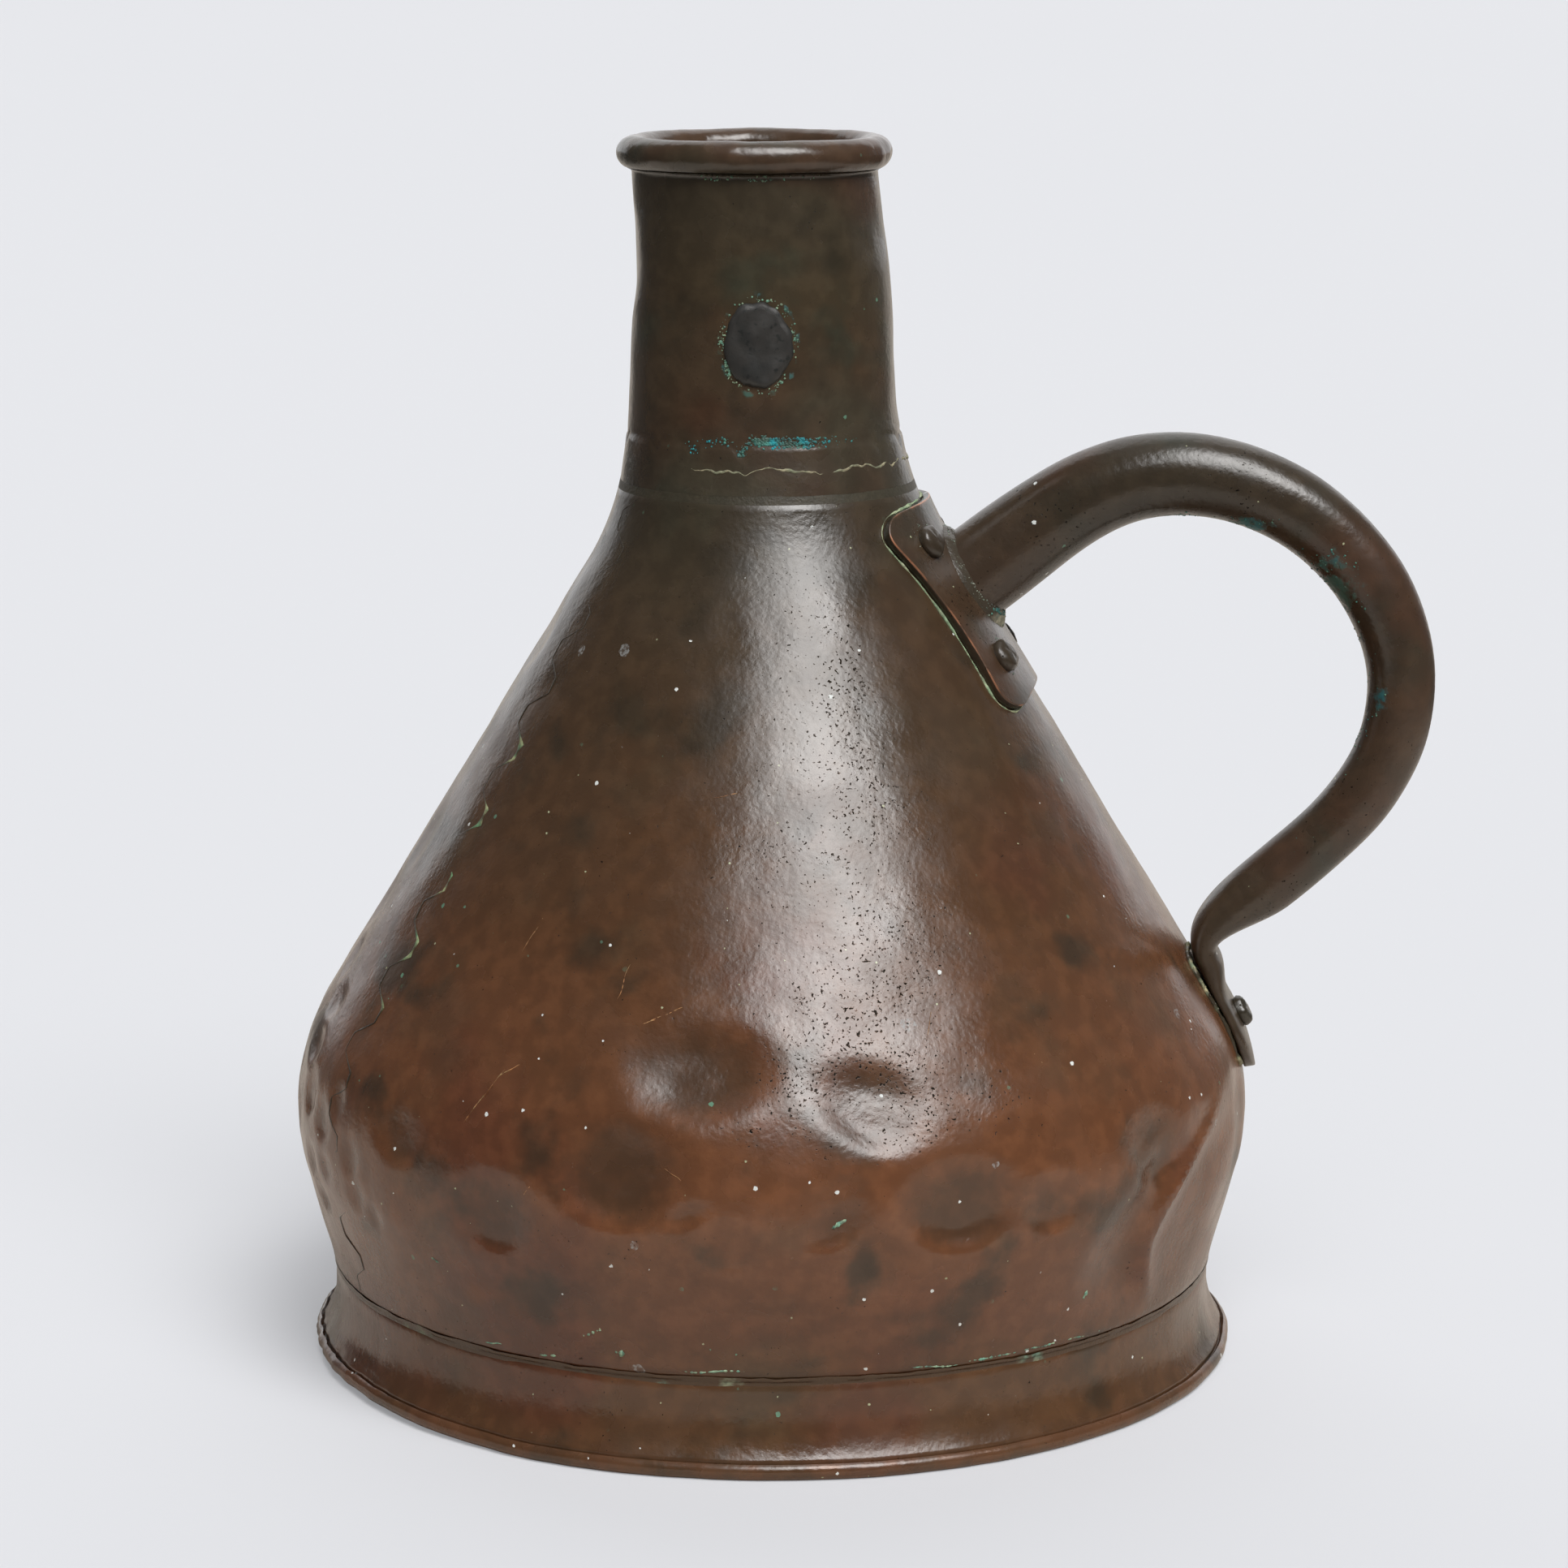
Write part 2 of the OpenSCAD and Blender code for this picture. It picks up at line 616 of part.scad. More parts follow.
// Rivet: a shank through the sheets, a hammered head outside and a flat head inside
module rivet(turn, z, grip) {
    on_skin(turn, z) {
        translate([0, 0, -body_wall - rivet_inner_t / 2])
            cylinder(d = rivet_d, h = body_wall + rivet_inner_t / 2 + grip + rivet_head_h / 2);
        translate([0, 0, grip]) {
            cylinder(d = rivet_head_d, h = rivet_head_h / 2);
            translate([0, 0, rivet_head_h / 2])
                cylinder(d1 = rivet_head_d, d2 = rivet_head_d * 0.6, h = rivet_head_h / 2);
        }
    }
    intersection() {
        on_skin(turn, z) cylinder(d = rivet_inner_d, h = rivet_inner_d, center = true);
        skin_layer(body_wall, body_wall + rivet_inner_t, z - rivet_inner_d, z + rivet_inner_d);
    }
}

module saddle_rivets_upper() color(copper) {
    for (side = [-1, 1]) rivet(side * rivet_up_angle, rivet_up_z, saddle_t);
}

module saddle_rivets_lower() color(copper) {
    for (side = [-1, 1]) rivet(side * rivet_low_angle, rivet_low_z, saddle_t);
}

module tang_rivet() color(copper) {
    rivet(0, tang_rivet_z, tang_seat + tang_t);
}

module tang_solder() color(solder) difference() {
    intersection() {
        skin_layer(-tang_seat, 0, tang_tip_z, tang_top_z);
        on_skin(0, (tang_tip_z + tang_top_z) / 2)
            cube([tang_top_z - tang_tip_z - tang_t, tang_w - tang_t, tang_w], center = true);
    }
    tang_hole();
}

body_shell();
body_seam_braze();
neck_tube();
neck_seam_braze();
neck_joint_braze();
rim_wire();
gauge_plug();
foot_band();
foot_seam_braze();
foot_wire();
foot_solder();
bottom_pan();
bottom_solder();
handle_tube();
handle_saddle();
saddle_fillet();
saddle_rivets_upper();
saddle_rivets_lower();
tang_rivet();
tang_solder();
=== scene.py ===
import math

import bpy
import numpy as np
from mathutils import Matrix, Vector, noise


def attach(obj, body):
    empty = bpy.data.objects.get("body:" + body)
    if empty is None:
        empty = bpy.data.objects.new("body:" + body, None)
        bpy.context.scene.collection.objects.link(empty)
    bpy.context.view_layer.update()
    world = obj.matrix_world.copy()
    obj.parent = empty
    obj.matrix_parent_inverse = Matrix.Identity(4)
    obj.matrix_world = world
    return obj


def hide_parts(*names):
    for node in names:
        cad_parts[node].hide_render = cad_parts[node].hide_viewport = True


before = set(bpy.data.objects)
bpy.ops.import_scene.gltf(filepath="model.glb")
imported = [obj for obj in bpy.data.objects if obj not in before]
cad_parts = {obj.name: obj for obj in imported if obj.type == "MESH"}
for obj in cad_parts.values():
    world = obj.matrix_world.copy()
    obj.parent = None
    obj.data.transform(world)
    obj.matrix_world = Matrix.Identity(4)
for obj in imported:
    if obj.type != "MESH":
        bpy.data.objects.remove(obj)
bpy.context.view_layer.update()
print("frame loaded:", len(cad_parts), "nodes")

mm = 0.001  # sizes in the dictionaries are millimetres and degrees, unless a note says metres


# Camera: the photographed view, turned so that the handle comes 5 degrees towards it
photoView = {
    "place": (99.0, -1096.6, 357.9),
    "turn": 5.0,
    "pitch": 11.267,
    "lens": 105.44,
    "sensor": 36.0,
}


def setCamera():
    eye = bpy.data.cameras.new("photoCamera")
    eye.lens = photoView["lens"]
    eye.sensor_width = photoView["sensor"]
    eye.clip_end = 60
    camera = bpy.data.objects.new("photoCamera", eye)
    bpy.context.scene.collection.objects.link(camera)
    camera.location = Vector(photoView["place"]) * mm
    camera.rotation_euler = (math.radians(90 - photoView["pitch"]), 0, math.radians(photoView["turn"]))
    bpy.context.scene.camera = camera


setCamera()
print("camera set")


# Outer line of the vessel: hollow waist, bulge, straight cone, cove and neck
vessel = {
    "waistRadius": 108.0, "waistHeight": 16.0, "waistBend": 46.4,
    "bulgeRadius": 116.7, "bulgeHeight": 61.0, "bulgeBend": 50.2,
    "neckFootRadius": 32.1, "neckFootHeight": 233.0, "coveBend": 80.0,
    "neckTopRadius": 29.4, "neckTopHeight": 288.0,
    "wall": 1.1,
}


def tangentLean(start, end, bends):
    run = end - start
    return math.atan2(run[1], run[0]) - math.acos(bends / math.hypot(*run))


neckLean = math.atan((vessel["neckFootRadius"] - vessel["neckTopRadius"])
                     / (vessel["neckTopHeight"] - vessel["neckFootHeight"]))
waistMiddle = np.array((vessel["waistRadius"] + vessel["waistBend"], vessel["waistHeight"]))
bulgeMiddle = np.array((vessel["bulgeRadius"] - vessel["bulgeBend"], vessel["bulgeHeight"]))
coveMiddle = np.array((vessel["neckFootRadius"] + vessel["coveBend"] * math.cos(neckLean),
                       vessel["neckFootHeight"] + vessel["coveBend"] * math.sin(neckLean)))
mirrored = np.array((-1, 1))
lowerBends = vessel["waistBend"] + vessel["bulgeBend"]
flare = -tangentLean(waistMiddle * mirrored, bulgeMiddle * mirrored, lowerBends)
coneLean = tangentLean(bulgeMiddle, coveMiddle, vessel["bulgeBend"] + vessel["coveBend"])


def skinRadius(z, depth=0.0):
    z = np.asarray(z, float)
    waistBend = vessel["waistBend"] + depth
    bulgeBend = vessel["bulgeBend"] - depth
    coveBend = vessel["coveBend"] + depth

    def arc(middle, bend, side, at):
        return middle[0] + side * np.sqrt(np.maximum(bend ** 2 - (at - middle[1]) ** 2, 0))

    waistTop = waistMiddle[1] - waistBend * math.sin(flare)
    bulgeLow = bulgeMiddle[1] + bulgeBend * math.sin(flare)
    bulgeTop = bulgeMiddle[1] + bulgeBend * math.sin(coneLean)
    coveLow = coveMiddle[1] - coveBend * math.sin(coneLean)
    coveTop = coveMiddle[1] - coveBend * math.sin(neckLean)
    swell = arc(waistMiddle, waistBend, -1, waistTop) - (z - waistTop) * math.tan(flare)
    cone = arc(bulgeMiddle, bulgeBend, 1, bulgeTop) - (z - bulgeTop) * math.tan(coneLean)
    neck = arc(coveMiddle, coveBend, -1, coveTop) - (z - coveTop) * math.tan(neckLean)
    below = (z < waistMiddle[1], z < waistTop, z < bulgeLow, z < bulgeTop, z < coveLow, z < coveTop)
    runs = (np.full_like(z, vessel["waistRadius"] - depth), arc(waistMiddle, waistBend, -1, z), swell,
            arc(bulgeMiddle, bulgeBend, 1, z), cone, arc(coveMiddle, coveBend, -1, z))
    return np.select(below, runs, neck)


def skinNormal(z):
    step = 0.05  # half the stretch over which the slope is taken
    rise = (skinRadius(np.asarray(z) + step) - skinRadius(np.asarray(z) - step)) / (2 * step)
    length = np.sqrt(1 + rise ** 2)
    return 1 / length, -rise / length  # outward part and upward part


def skinNormals(side, z):
    out, up = skinNormal(z)
    turn = np.radians(side)
    return np.stack((out * np.cos(turn), out * np.sin(turn), up), axis=-1)


def skinPoints(side, z, lift):
    z = np.asarray(z, float)
    out, up = skinNormal(z)
    radius = skinRadius(z) + lift * out
    turn = np.radians(side)
    return np.stack(np.broadcast_arrays(radius * np.cos(turn), radius * np.sin(turn), z + lift * up), axis=-1)


def skinRun(depth, low, high, step):
    count = max(1, round((high - low) / step))
    return [(float(skinRadius(z, depth)), float(z)) for z in np.linspace(low, high, count + 1)]


def circle(sides, radius, height=0.0):
    turn = np.radians(sides)
    return np.stack(np.broadcast_arrays(radius * np.cos(turn), radius * np.sin(turn), height), axis=-1)


def polar(points):
    return np.hypot(points[:, 0], points[:, 1]), np.degrees(np.arctan2(points[:, 1], points[:, 0]))


def turnGap(side, at):
    return (side - at + 180) % 360 - 180


def ease(low, high, value):
    t = np.clip((np.asarray(value, float) - low) / (high - low), 0, 1)
    return t * t * (3 - 2 * t)


def between(value, low, full, fall, end):
    return ease(low, full, value) * (1 - ease(fall, end, value))


def bell(value, middle, width):
    return np.exp(-((value - middle) / width) ** 2)


def boxed(value, power):
    return np.sign(value) * np.abs(value) ** power


def ripple(points, size, layer=0.0):
    shift = Vector((layer, layer * 1.7, -layer))
    return np.array([noise.noise(Vector(p) / size + shift) for p in points])


def ripples(points, *waves):
    # each wave has a depth, a size and a layer of its own
    return sum(depth * ripple(points, size, layer) for depth, size, layer in waves)


def rippleAt(x, y, z, size, layer=0.0):
    return ripple(np.stack(np.broadcast_arrays(x, y, z), axis=-1), size, layer)


# Knocks that the vessel has had, which every piece on it follows
wear = {
    # side, height, half width, half height, depth, turn
    "dents": (
        (-94, 93, 18, 11, 2.4, 5), (-102.5, 72, 16, 13, 2.6, 0), (-94.5, 63, 6, 2.6, 1.0, 25),
        (-89.5, 55, 7.5, 6.5, 0.9, 0), (-77.8, 60.2, 9.5, 4.4, 1.3, 22), (-77.5, 67, 10, 6, 0.7, 15),
        (-73.0, 86.5, 14, 10, 1.8, -24), (-72.8, 51.5, 9, 8.5, 1.0, 0), (-63.2, 63.5, 15, 11, 2.6, 0),
        (-51.5, 60.5, 10, 7, 1.4, 0), (-34.5, 68, 13, 10, 2.0, -15), (-118, 58, 11, 10, 1.9, 0),
        (-133, 71.5, 9, 7, 1.1, 0), (-110, 40, 13, 9, 0.8, 0), (-84, 36, 14, 8, 0.7, 0),
        (-8, 60, 8, 16, 0.7, 0),
    ),
    "planishing": (
        (-162, 90, 6, 4.5, 0.8), (-161.5, 80, 6, 5.5, 0.9), (-158, 70, 5.5, 6.5, 1.0),
        (-148, 73, 4.5, 5.5, 0.7), (-151.5, 66, 5.5, 5.5, 0.9), (-157, 54, 4.5, 4.5, 0.9),
        (-150.5, 55.5, 4.5, 4, 0.7),
        (-143, 61.5, 4.5, 5.5, 0.7), (-155, 45.5, 4.5, 4, 1.0), (-142, 52.5, 4.5, 4.5, 0.6),
        (-138.5, 49, 3.5, 3.5, 0.5), (-166, 62, 5, 5, 0.9), (-171, 74, 5.5, 6, 0.9), (-168, 98, 5, 7, 0.7),
        (-172, 112, 6, 8, 0.8), (-166, 128, 6, 9, 0.7), (-175, 150, 7, 9, 0.7), (-170, 176, 8, 10, 0.6),
    ),
    # the fold runs down the right of the front: side and height along its edge
    "foldEdge": ((-31.5, 24), (-32, 31), (-33.6, 38), (-34, 44), (-32.4, 51), (-29.5, 57), (-25, 63),
                 (-19, 70), (-12, 78)),
    # which way from the edge, where it is full, where it fades and ends, share of the depth
    "foldSides": ((-1, 9.0, 9.0, 28.0, 1.0), (1, 11.5, 12.0, 34.0, 0.5)),
    "foldDepth": 2.9, "foldHeights": (24, 40, 54, 76), "foldRidge": (0.10, 3.0),
    "neckDents": ((-176, 270, 14, 16, 0.8, 0), (-140, 282, 10, 5, 0.4, 0), (-20, 275, 12, 9, 0.5, 0),
                  (60, 266, 11, 12, 0.9, 0)),
    "leanSide": 185.0, "leanLow": (192.0, 236.0, 2.1), "leanHigh": (256.0, 292.0, 1.9),
    "handleClear": (6.0, 26.0),
    "footLift": 1.2, "liftSide": -168.0, "liftReach": (0.55, 1.0), "liftFade": (2.0, 15.0),
}
# shape of a dent in shares of its size, with the change towards its lower side
dentForm = {
    "middle": 0.02, "flat": (0.15, 0.4), "flank": (1.1, 0.55), "rim": (1.25, 0.25), "rimHigh": (0.04, 0.05),
    "leastSlope": 0.3,
}
# dents of the back half, drawn at random
backDents = {
    "count": 46, "seed": 7, "size": (4, 15), "small": 8, "side": (12, 172), "smallHeights": (34, 150),
    "largeHeights": (40, 95), "tall": (0.6, 1.1), "deep": (0.06, 0.15), "turn": (-30, 30),
}


def drawBackDents():
    draw = np.random.RandomState(backDents["seed"])
    found = []
    for _ in range(backDents["count"]):
        size = draw.uniform(*backDents["size"])
        side = draw.uniform(*backDents["side"])
        height = draw.uniform(*backDents["smallHeights" if size < backDents["small"] else "largeHeights"])
        tall = size * draw.uniform(*backDents["tall"])
        deep = draw.uniform(*backDents["deep"]) * size
        found.append((side, height, size, tall, deep, draw.uniform(*backDents["turn"])))
    return found


planished = [dent + (0,) for dent in wear["planishing"]]
allDents = list(wear["dents"]) + planished + list(wear["neckDents"]) + drawBackDents()


def dentDepth(side, z):
    radius = skinRadius(z)
    slope = np.maximum(skinNormal(z)[0], dentForm["leastSlope"])
    least, flat, flank, rimHigh = (dentForm[key] for key in ("middle", "flat", "flank", "rimHigh"))
    total = np.zeros_like(radius)
    for at, height, wide, high, depth, turn in allDents:
        across = np.radians(turnGap(side, at)) * radius
        along = (z - height) / slope
        c, s = math.cos(math.radians(turn)), math.sin(math.radians(turn))
        spread = np.sqrt(((across * c + along * s) / wide) ** 2 + ((along * c - across * s) / high) ** 2)
        under = np.clip((across * s - along * c) / (high * np.maximum(spread, least)), 0, 1)
        under = np.where(spread > least, under, 0)  # the lower side is steeper
        t = np.clip((spread - flat[0] - flat[1] * under) / (flank[0] - flank[1] * under), 0, 1)
        bowl = 1 - t * t * (3 - 2 * t)
        rim = bell(spread, *dentForm["rim"]) * (rimHigh[0] + rimHigh[1] * under)
        total += depth * (bowl - rim)
    return total


def foldDepth(side, z):
    sides, heights = np.array(wear["foldEdge"]).T
    gap = np.radians(turnGap(side, np.interp(z, heights, sides))) * skinRadius(z)
    total = np.zeros_like(gap)
    for way, full, fade, end, share in wear["foldSides"]:
        t = np.clip(way * gap / full, 0, 1)
        total += t * (2 - t) * (1 - ease(fade, end, way * gap)) * share
    ridge = wear["foldRidge"][0] * bell(gap, 0, wear["foldRidge"][1])
    return wear["foldDepth"] * between(z, *wear["foldHeights"]) * (total - ridge)


def leanShift(z):
    low, mid, first = wear["leanLow"]
    start, top, second = wear["leanHigh"]
    return first * ease(low, mid, z) + second * ease(start, top, z)


def settle(points):
    points = np.array(points, float)
    x, y, z = points.T
    radius, side = polar(points)
    near = 1 - ease(*wear["handleClear"], radius - skinRadius(z))  # the loop of the handle stands clear
    sunk = (dentDepth(side, z) + foldDepth(side, z)) * near
    grow = np.where(radius > 1, (radius - sunk) / np.maximum(radius, 1), 1)
    turn = math.radians(wear["leanSide"])
    shift = leanShift(z) * near
    lift = wear["footLift"] * (1 - ease(*wear["liftFade"], z))
    lift = lift * ease(*wear["liftReach"], np.cos(np.radians(side - wear["liftSide"])))
    return np.stack((x * grow + shift * math.cos(turn), y * grow + shift * math.sin(turn), z + lift), axis=-1)


print("dents:", len(allDents))

# crumbs of verdigris and dirt: how many, least and greatest radius, seed and size of clumps
crumbs = {
    "neckCrust": (1300, (0.10, 0.40), 3, 3.0), "plugCrust": (300, (0.10, 0.40), 5, 3.0),
    "handleCrust": (520, (0.08, 0.34), 11, 5.0), "rootCrust": (330, (0.08, 0.32), 13, 3.0),
    "rootLump": (46, (0.15, 0.5), 17, 6.0), "tangCrust": (130, (0.12, 0.36), 19, 2.5),
}
# shape of a crumb in shares of its size: reach and lift of its rings, with what is scattered
crumbForm = {
    "corners": 6, "foot": -0.5, "rings": ((1.0, -0.2), (0.75, 0.4)), "top": 0.7, "uneven": (0.65, 1.3),
    "leastShare": 1e-4, "thin": 0.18, "clumps": (-0.05, 0.3), "sizePower": 2.5,
}


# Ways of making pieces
def deselect():
    bpy.ops.object.select_all(action="DESELECT")


def pick(piece):
    deselect()
    piece.select_set(True)
    bpy.context.view_layer.objects.active = piece


def latheShell(name, outline, turns):
    deselect()
    bpy.ops.mesh.primitive_plane_add(size=mm)
    piece = bpy.context.object
    piece.name = name
    piece.data.name = name
    bpy.ops.object.mode_set(mode="EDIT")
    bpy.ops.mesh.select_all(action="SELECT")
    bpy.ops.mesh.merge(type="CENTER")
    bpy.ops.transform.translate(value=(outline[0][0] * mm, 0, outline[0][1] * mm))
    for before, after in zip(outline, outline[1:] + outline[:1]):
        step = ((after[0] - before[0]) * mm, 0, (after[1] - before[1]) * mm)
        bpy.ops.mesh.extrude_region_move(TRANSFORM_OT_translate={"value": step})
    bpy.ops.mesh.select_all(action="SELECT")
    bpy.ops.mesh.spin(steps=turns, angle=math.tau, center=(0, 0, 0), axis=(0, 0, 1))
    tidyMesh()
    return piece


def tidyMesh():
    bpy.ops.mesh.select_all(action="SELECT")
    bpy.ops.mesh.remove_doubles(threshold=0.01 * mm)
    bpy.ops.mesh.normals_make_consistent(inside=False)
    bpy.ops.object.mode_set(mode="OBJECT")


def meshPiece(name, points, faces):
    mesh = bpy.data.meshes.new(name)
    mesh.from_pydata([tuple(p) for p in np.asarray(points) * mm], [], faces)
    piece = bpy.data.objects.new(name, mesh)
    bpy.context.scene.collection.objects.link(piece)
    pick(piece)
    bpy.ops.object.mode_set(mode="EDIT")
    tidyMesh()
    return piece


def loftRings(name, rings, loop=False):
    rings = np.asarray(rings, float)
    count, sides = rings.shape[:2]
    points = rings.reshape(-1, 3)
    faces = []
    for i in range(count if loop else count - 1):
        a, b = i * sides, (i + 1) % count * sides
        faces += [(a + k, a + (k + 1) % sides, b + (k + 1) % sides, b + k) for k in range(sides)]
    if not loop:
        ends = [rings[0].mean(axis=0), rings[-1].mean(axis=0)]
        points = np.vstack((points, ends))
        last = count * sides
        faces += [(last, (k + 1) % sides, k) for k in range(sides)]
        faces += [(last + 1, last - sides + k, last - sides + (k + 1) % sides) for k in range(sides)]
    return meshPiece(name, points, faces)


def beadRings(sides, heights, radii, lift, corners=8):
    # a bead of round section along a line on the skin
    sides, heights = np.broadcast_arrays(np.asarray(sides, float), np.asarray(heights, float))
    radii = np.broadcast_to(radii, sides.shape)
    middle = skinPoints(sides, heights, lift)
    ahead = np.gradient(middle, axis=0)
    ahead /= np.linalg.norm(ahead, axis=1, keepdims=True)
    normal = skinNormals(sides, heights)
    across = np.cross(normal, ahead)
    corner = np.linspace(0, math.tau, corners, endpoint=False)[None, :, None]
    wheel = np.cos(corner) * across[:, None] + np.sin(corner) * normal[:, None]
    return middle[:, None] + radii[:, None, None] * wheel


def grainPile(name, places, normals, sizes, seed):
    # a small knobbly dome at each place
    draw = np.random.RandomState(seed)
    corners = crumbForm["corners"]
    places, normals, sizes = (np.asarray(v, float) for v in (places, normals, sizes))
    first = np.cross(normals, np.where(np.abs(normals[:, 2:]) < 0.9, (0.0, 0.0, 1.0), (1.0, 0.0, 0.0)))
    first /= np.linalg.norm(first, axis=1, keepdims=True)
    second = np.cross(normals, first)
    corner = np.linspace(0, math.tau, corners, endpoint=False)[:, None]
    wheel = np.cos(corner) * first[:, None] + np.sin(corner) * second[:, None]

    def raised(lift):
        return (places + lift * sizes[:, None] * normals)[:, None]

    rings = [raised(crumbForm["foot"])]
    for share, lift in crumbForm["rings"]:
        reach = sizes[:, None] * share * draw.uniform(*crumbForm["uneven"], (len(places), corners))
        rings.append(raised(lift) + reach[:, :, None] * wheel)
    rings.append(raised(crumbForm["top"]))
    faces = []
    each = 2 * corners + 2
    for start in range(0, each * len(places), each):
        for k in range(corners):
            a, b = start + 1 + k, start + 1 + (k + 1) % corners
            c, d = a + corners, b + corners
            faces += [(start, b, a), (a, b, d, c), (c, d, start + each - 1)]
    return meshPiece(name, np.concatenate(rings, axis=1).reshape(-1, 3), faces)


def strew(name, piece, weights, finish, slot):
    # crumbs over a piece where the weights of its points are high
    count, (least, greatest), seed, clump = crumbs[name]
    draw = np.random.RandomState(seed)
    faces, points = piece.data.polygons, coordinates(piece)
    share = np.array([max(np.mean(weights[list(f.vertices)]), 0) ** 2 * f.area for f in faces])
    used = np.flatnonzero(share > share.max() * crumbForm["leastShare"])
    middles = np.array([points[list(faces[int(i)].vertices)].mean(axis=0) for i in used])
    share = share[used] * (crumbForm["thin"] + ease(*crumbForm["clumps"], ripple(middles, clump, seed)))
    places, normals = [], []
    for chosen in used[draw.choice(len(used), count, p=share / share.sum())]:
        face = faces[int(chosen)]
        corners = list(face.vertices)
        places.append(draw.dirichlet(np.ones(len(corners))) @ points[corners])
        normals.append(tuple(face.normal))
    sizes = least + (greatest - least) * draw.uniform(0, 1, count) ** crumbForm["sizePower"]
    finishPiece(grainPile(name, places, normals, sizes, seed), finish, slot, sharp=70)


def coordinates(piece):
    flat = np.empty(len(piece.data.vertices) * 3)
    piece.data.vertices.foreach_get("co", flat)
    return flat.reshape(-1, 3) / mm


def reshape(piece, points):
    piece.data.vertices.foreach_set("co", (np.asarray(points) * mm).ravel())
    piece.data.update()


def settlePiece(piece):
    reshape(piece, settle(coordinates(piece)))


def addMark(piece, name, values):
    mark = piece.data.attributes.new(name, "FLOAT", "POINT")
    mark.data.foreach_set("value", np.asarray(values, float))


def joinPieces(pieces):
    pick(pieces[0])
    for piece in pieces:
        piece.select_set(True)
    bpy.ops.object.join()
    return pieces[0]


def finishPiece(piece, finish, slot, *nodes, sharp=40):
    pick(piece)
    bpy.ops.object.shade_smooth_by_angle(angle=math.radians(sharp))
    piece.data.materials.clear()
    piece.data.materials.append(finish)
    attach(piece, "root")
    if nodes:
        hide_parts(*nodes)


# Finishes: browned copper and the deposits on it, coloured by place on the object
def node(tree, kind, inputs=None, **settings):
    made = tree.nodes.new("ShaderNode" + kind)
    for key, value in settings.items():
        setattr(made, key, value)
    for key, value in (inputs or {}).items():
        if isinstance(value, bpy.types.NodeSocket):
            tree.links.new(value, made.inputs[key])
        elif isinstance(value, tuple) and made.inputs[key].type == "RGBA":
            made.inputs[key].default_value = (*value, 1)
        else:
            made.inputs[key].default_value = value
    return made


def reckon(tree, operation, *values):
    return node(tree, "Math", dict(enumerate(values)), operation=operation).outputs[0]


def plus(tree, a, b):
    return reckon(tree, "ADD", a, b)


def times(tree, a, b):
    return reckon(tree, "MULTIPLY", a, b)


def most(tree, a, b):
    return reckon(tree, "MAXIMUM", a, b)


def vector(tree, operation, a, b):
    return node(tree, "VectorMath", {0: a, 1: b}, operation=operation).outputs[0]


def band(tree, value, low, high, start=0.0, end=1.0):
    values = {"Value": value, "From Min": low, "From Max": high, "To Min": start, "To Max": end}
    return node(tree, "MapRange", values, interpolation_type="SMOOTHSTEP").outputs["Result"]


def cloud(tree, place, size, layer=0.0, detail=3.0):
    values = {"Vector": place, "W": layer, "Scale": 1 / (size * mm), "Detail": detail}
    return node(tree, "TexNoise", values, noise_dimensions="4D").outputs[0]


# patches in the finishes: size, layer, detail, and the values between which they come up
patches = {
    "red": (48, 2, 3, 0.50, 0.66), "green": (26, 4, 4, 0.54, 0.70), "grain": (5, 5, 5, 0.40, 0.66),
    "rubbed": (8, 17, 4, 0.42, 0.60), "crustTint": (11, 8, 3, 0.40, 0.62),
    "pitCluster": (22, 9, 4, 0.34, 0.64), "stain": (0.8, 14, 3, 0.42, 0.62),
    "greenDots": (18, 15, 3, 0.55, 0.64), "gloss": (16, 11, 4, 0.36, 0.64),
    "depositGrain": (0.9, 2, 3, 0.35, 0.65), "metalTone": (6, 1, 4, 0.38, 0.62),
    "metalMarks": (1.6, 2, 4, 0.56, 0.68), "metalGloss": (4, 3, 3, 0.35, 0.65),
    "paper": (4000, 1, 1, 0.3, 0.7),
}


def patch(tree, place, name, start=0.0, end=1.0):
    size, layer, detail, low, high = patches[name]
    return band(tree, cloud(tree, place, size, layer, detail), low, high, start, end)


def dots(tree, place, spacing, size, layer, share):
    # scattered specks of uneven outline: a share of the cells has one
    bend, grain = 1.5 * size * mm, 1.6 * size * mm
    shifted = vector(tree, "ADD", place, (layer, -layer, layer * 2))
    warp = node(tree, "TexNoise", {"Vector": shifted, "Scale": 1 / grain}).outputs["Color"]
    shifted = vector(tree, "ADD", shifted, vector(tree, "MULTIPLY", warp, (bend,) * 3))
    cells = node(tree, "TexVoronoi", {"Vector": shifted, "Scale": 1 / (spacing * mm)})
    tint = node(tree, "SeparateColor", {0: cells.outputs["Color"]})
    reach = times(tree, band(tree, tint.outputs[1], 0, 1, 0.5, 1.5), size / spacing)
    near = reckon(tree, "LESS_THAN", cells.outputs["Distance"], reach)
    return times(tree, near, reckon(tree, "LESS_THAN", tint.outputs[0], share))


def blend(tree, mask, under, over):
    return node(tree, "Mix", {0: mask, 6: under, 7: over}, data_type="RGBA").outputs[2]


def shade(tree, colour, tone):
    values = {0: 1.0, 6: colour, 7: tone}
    return node(tree, "Mix", values, data_type="RGBA", blend_type="MULTIPLY").outputs[2]


def markOn(tree, name):
    return node(tree, "Attribute", attribute_name=name).outputs["Fac"]


def newFinish(name, ior):
    finish = bpy.data.materials.new(name)
    finish.use_nodes = True
    tree = finish.node_tree
    shader = tree.nodes["Principled BSDF"]
    shader.inputs["IOR"].default_value = ior
    place = node(tree, "TexCoord").outputs["Object"]
    return finish, tree, shader, place


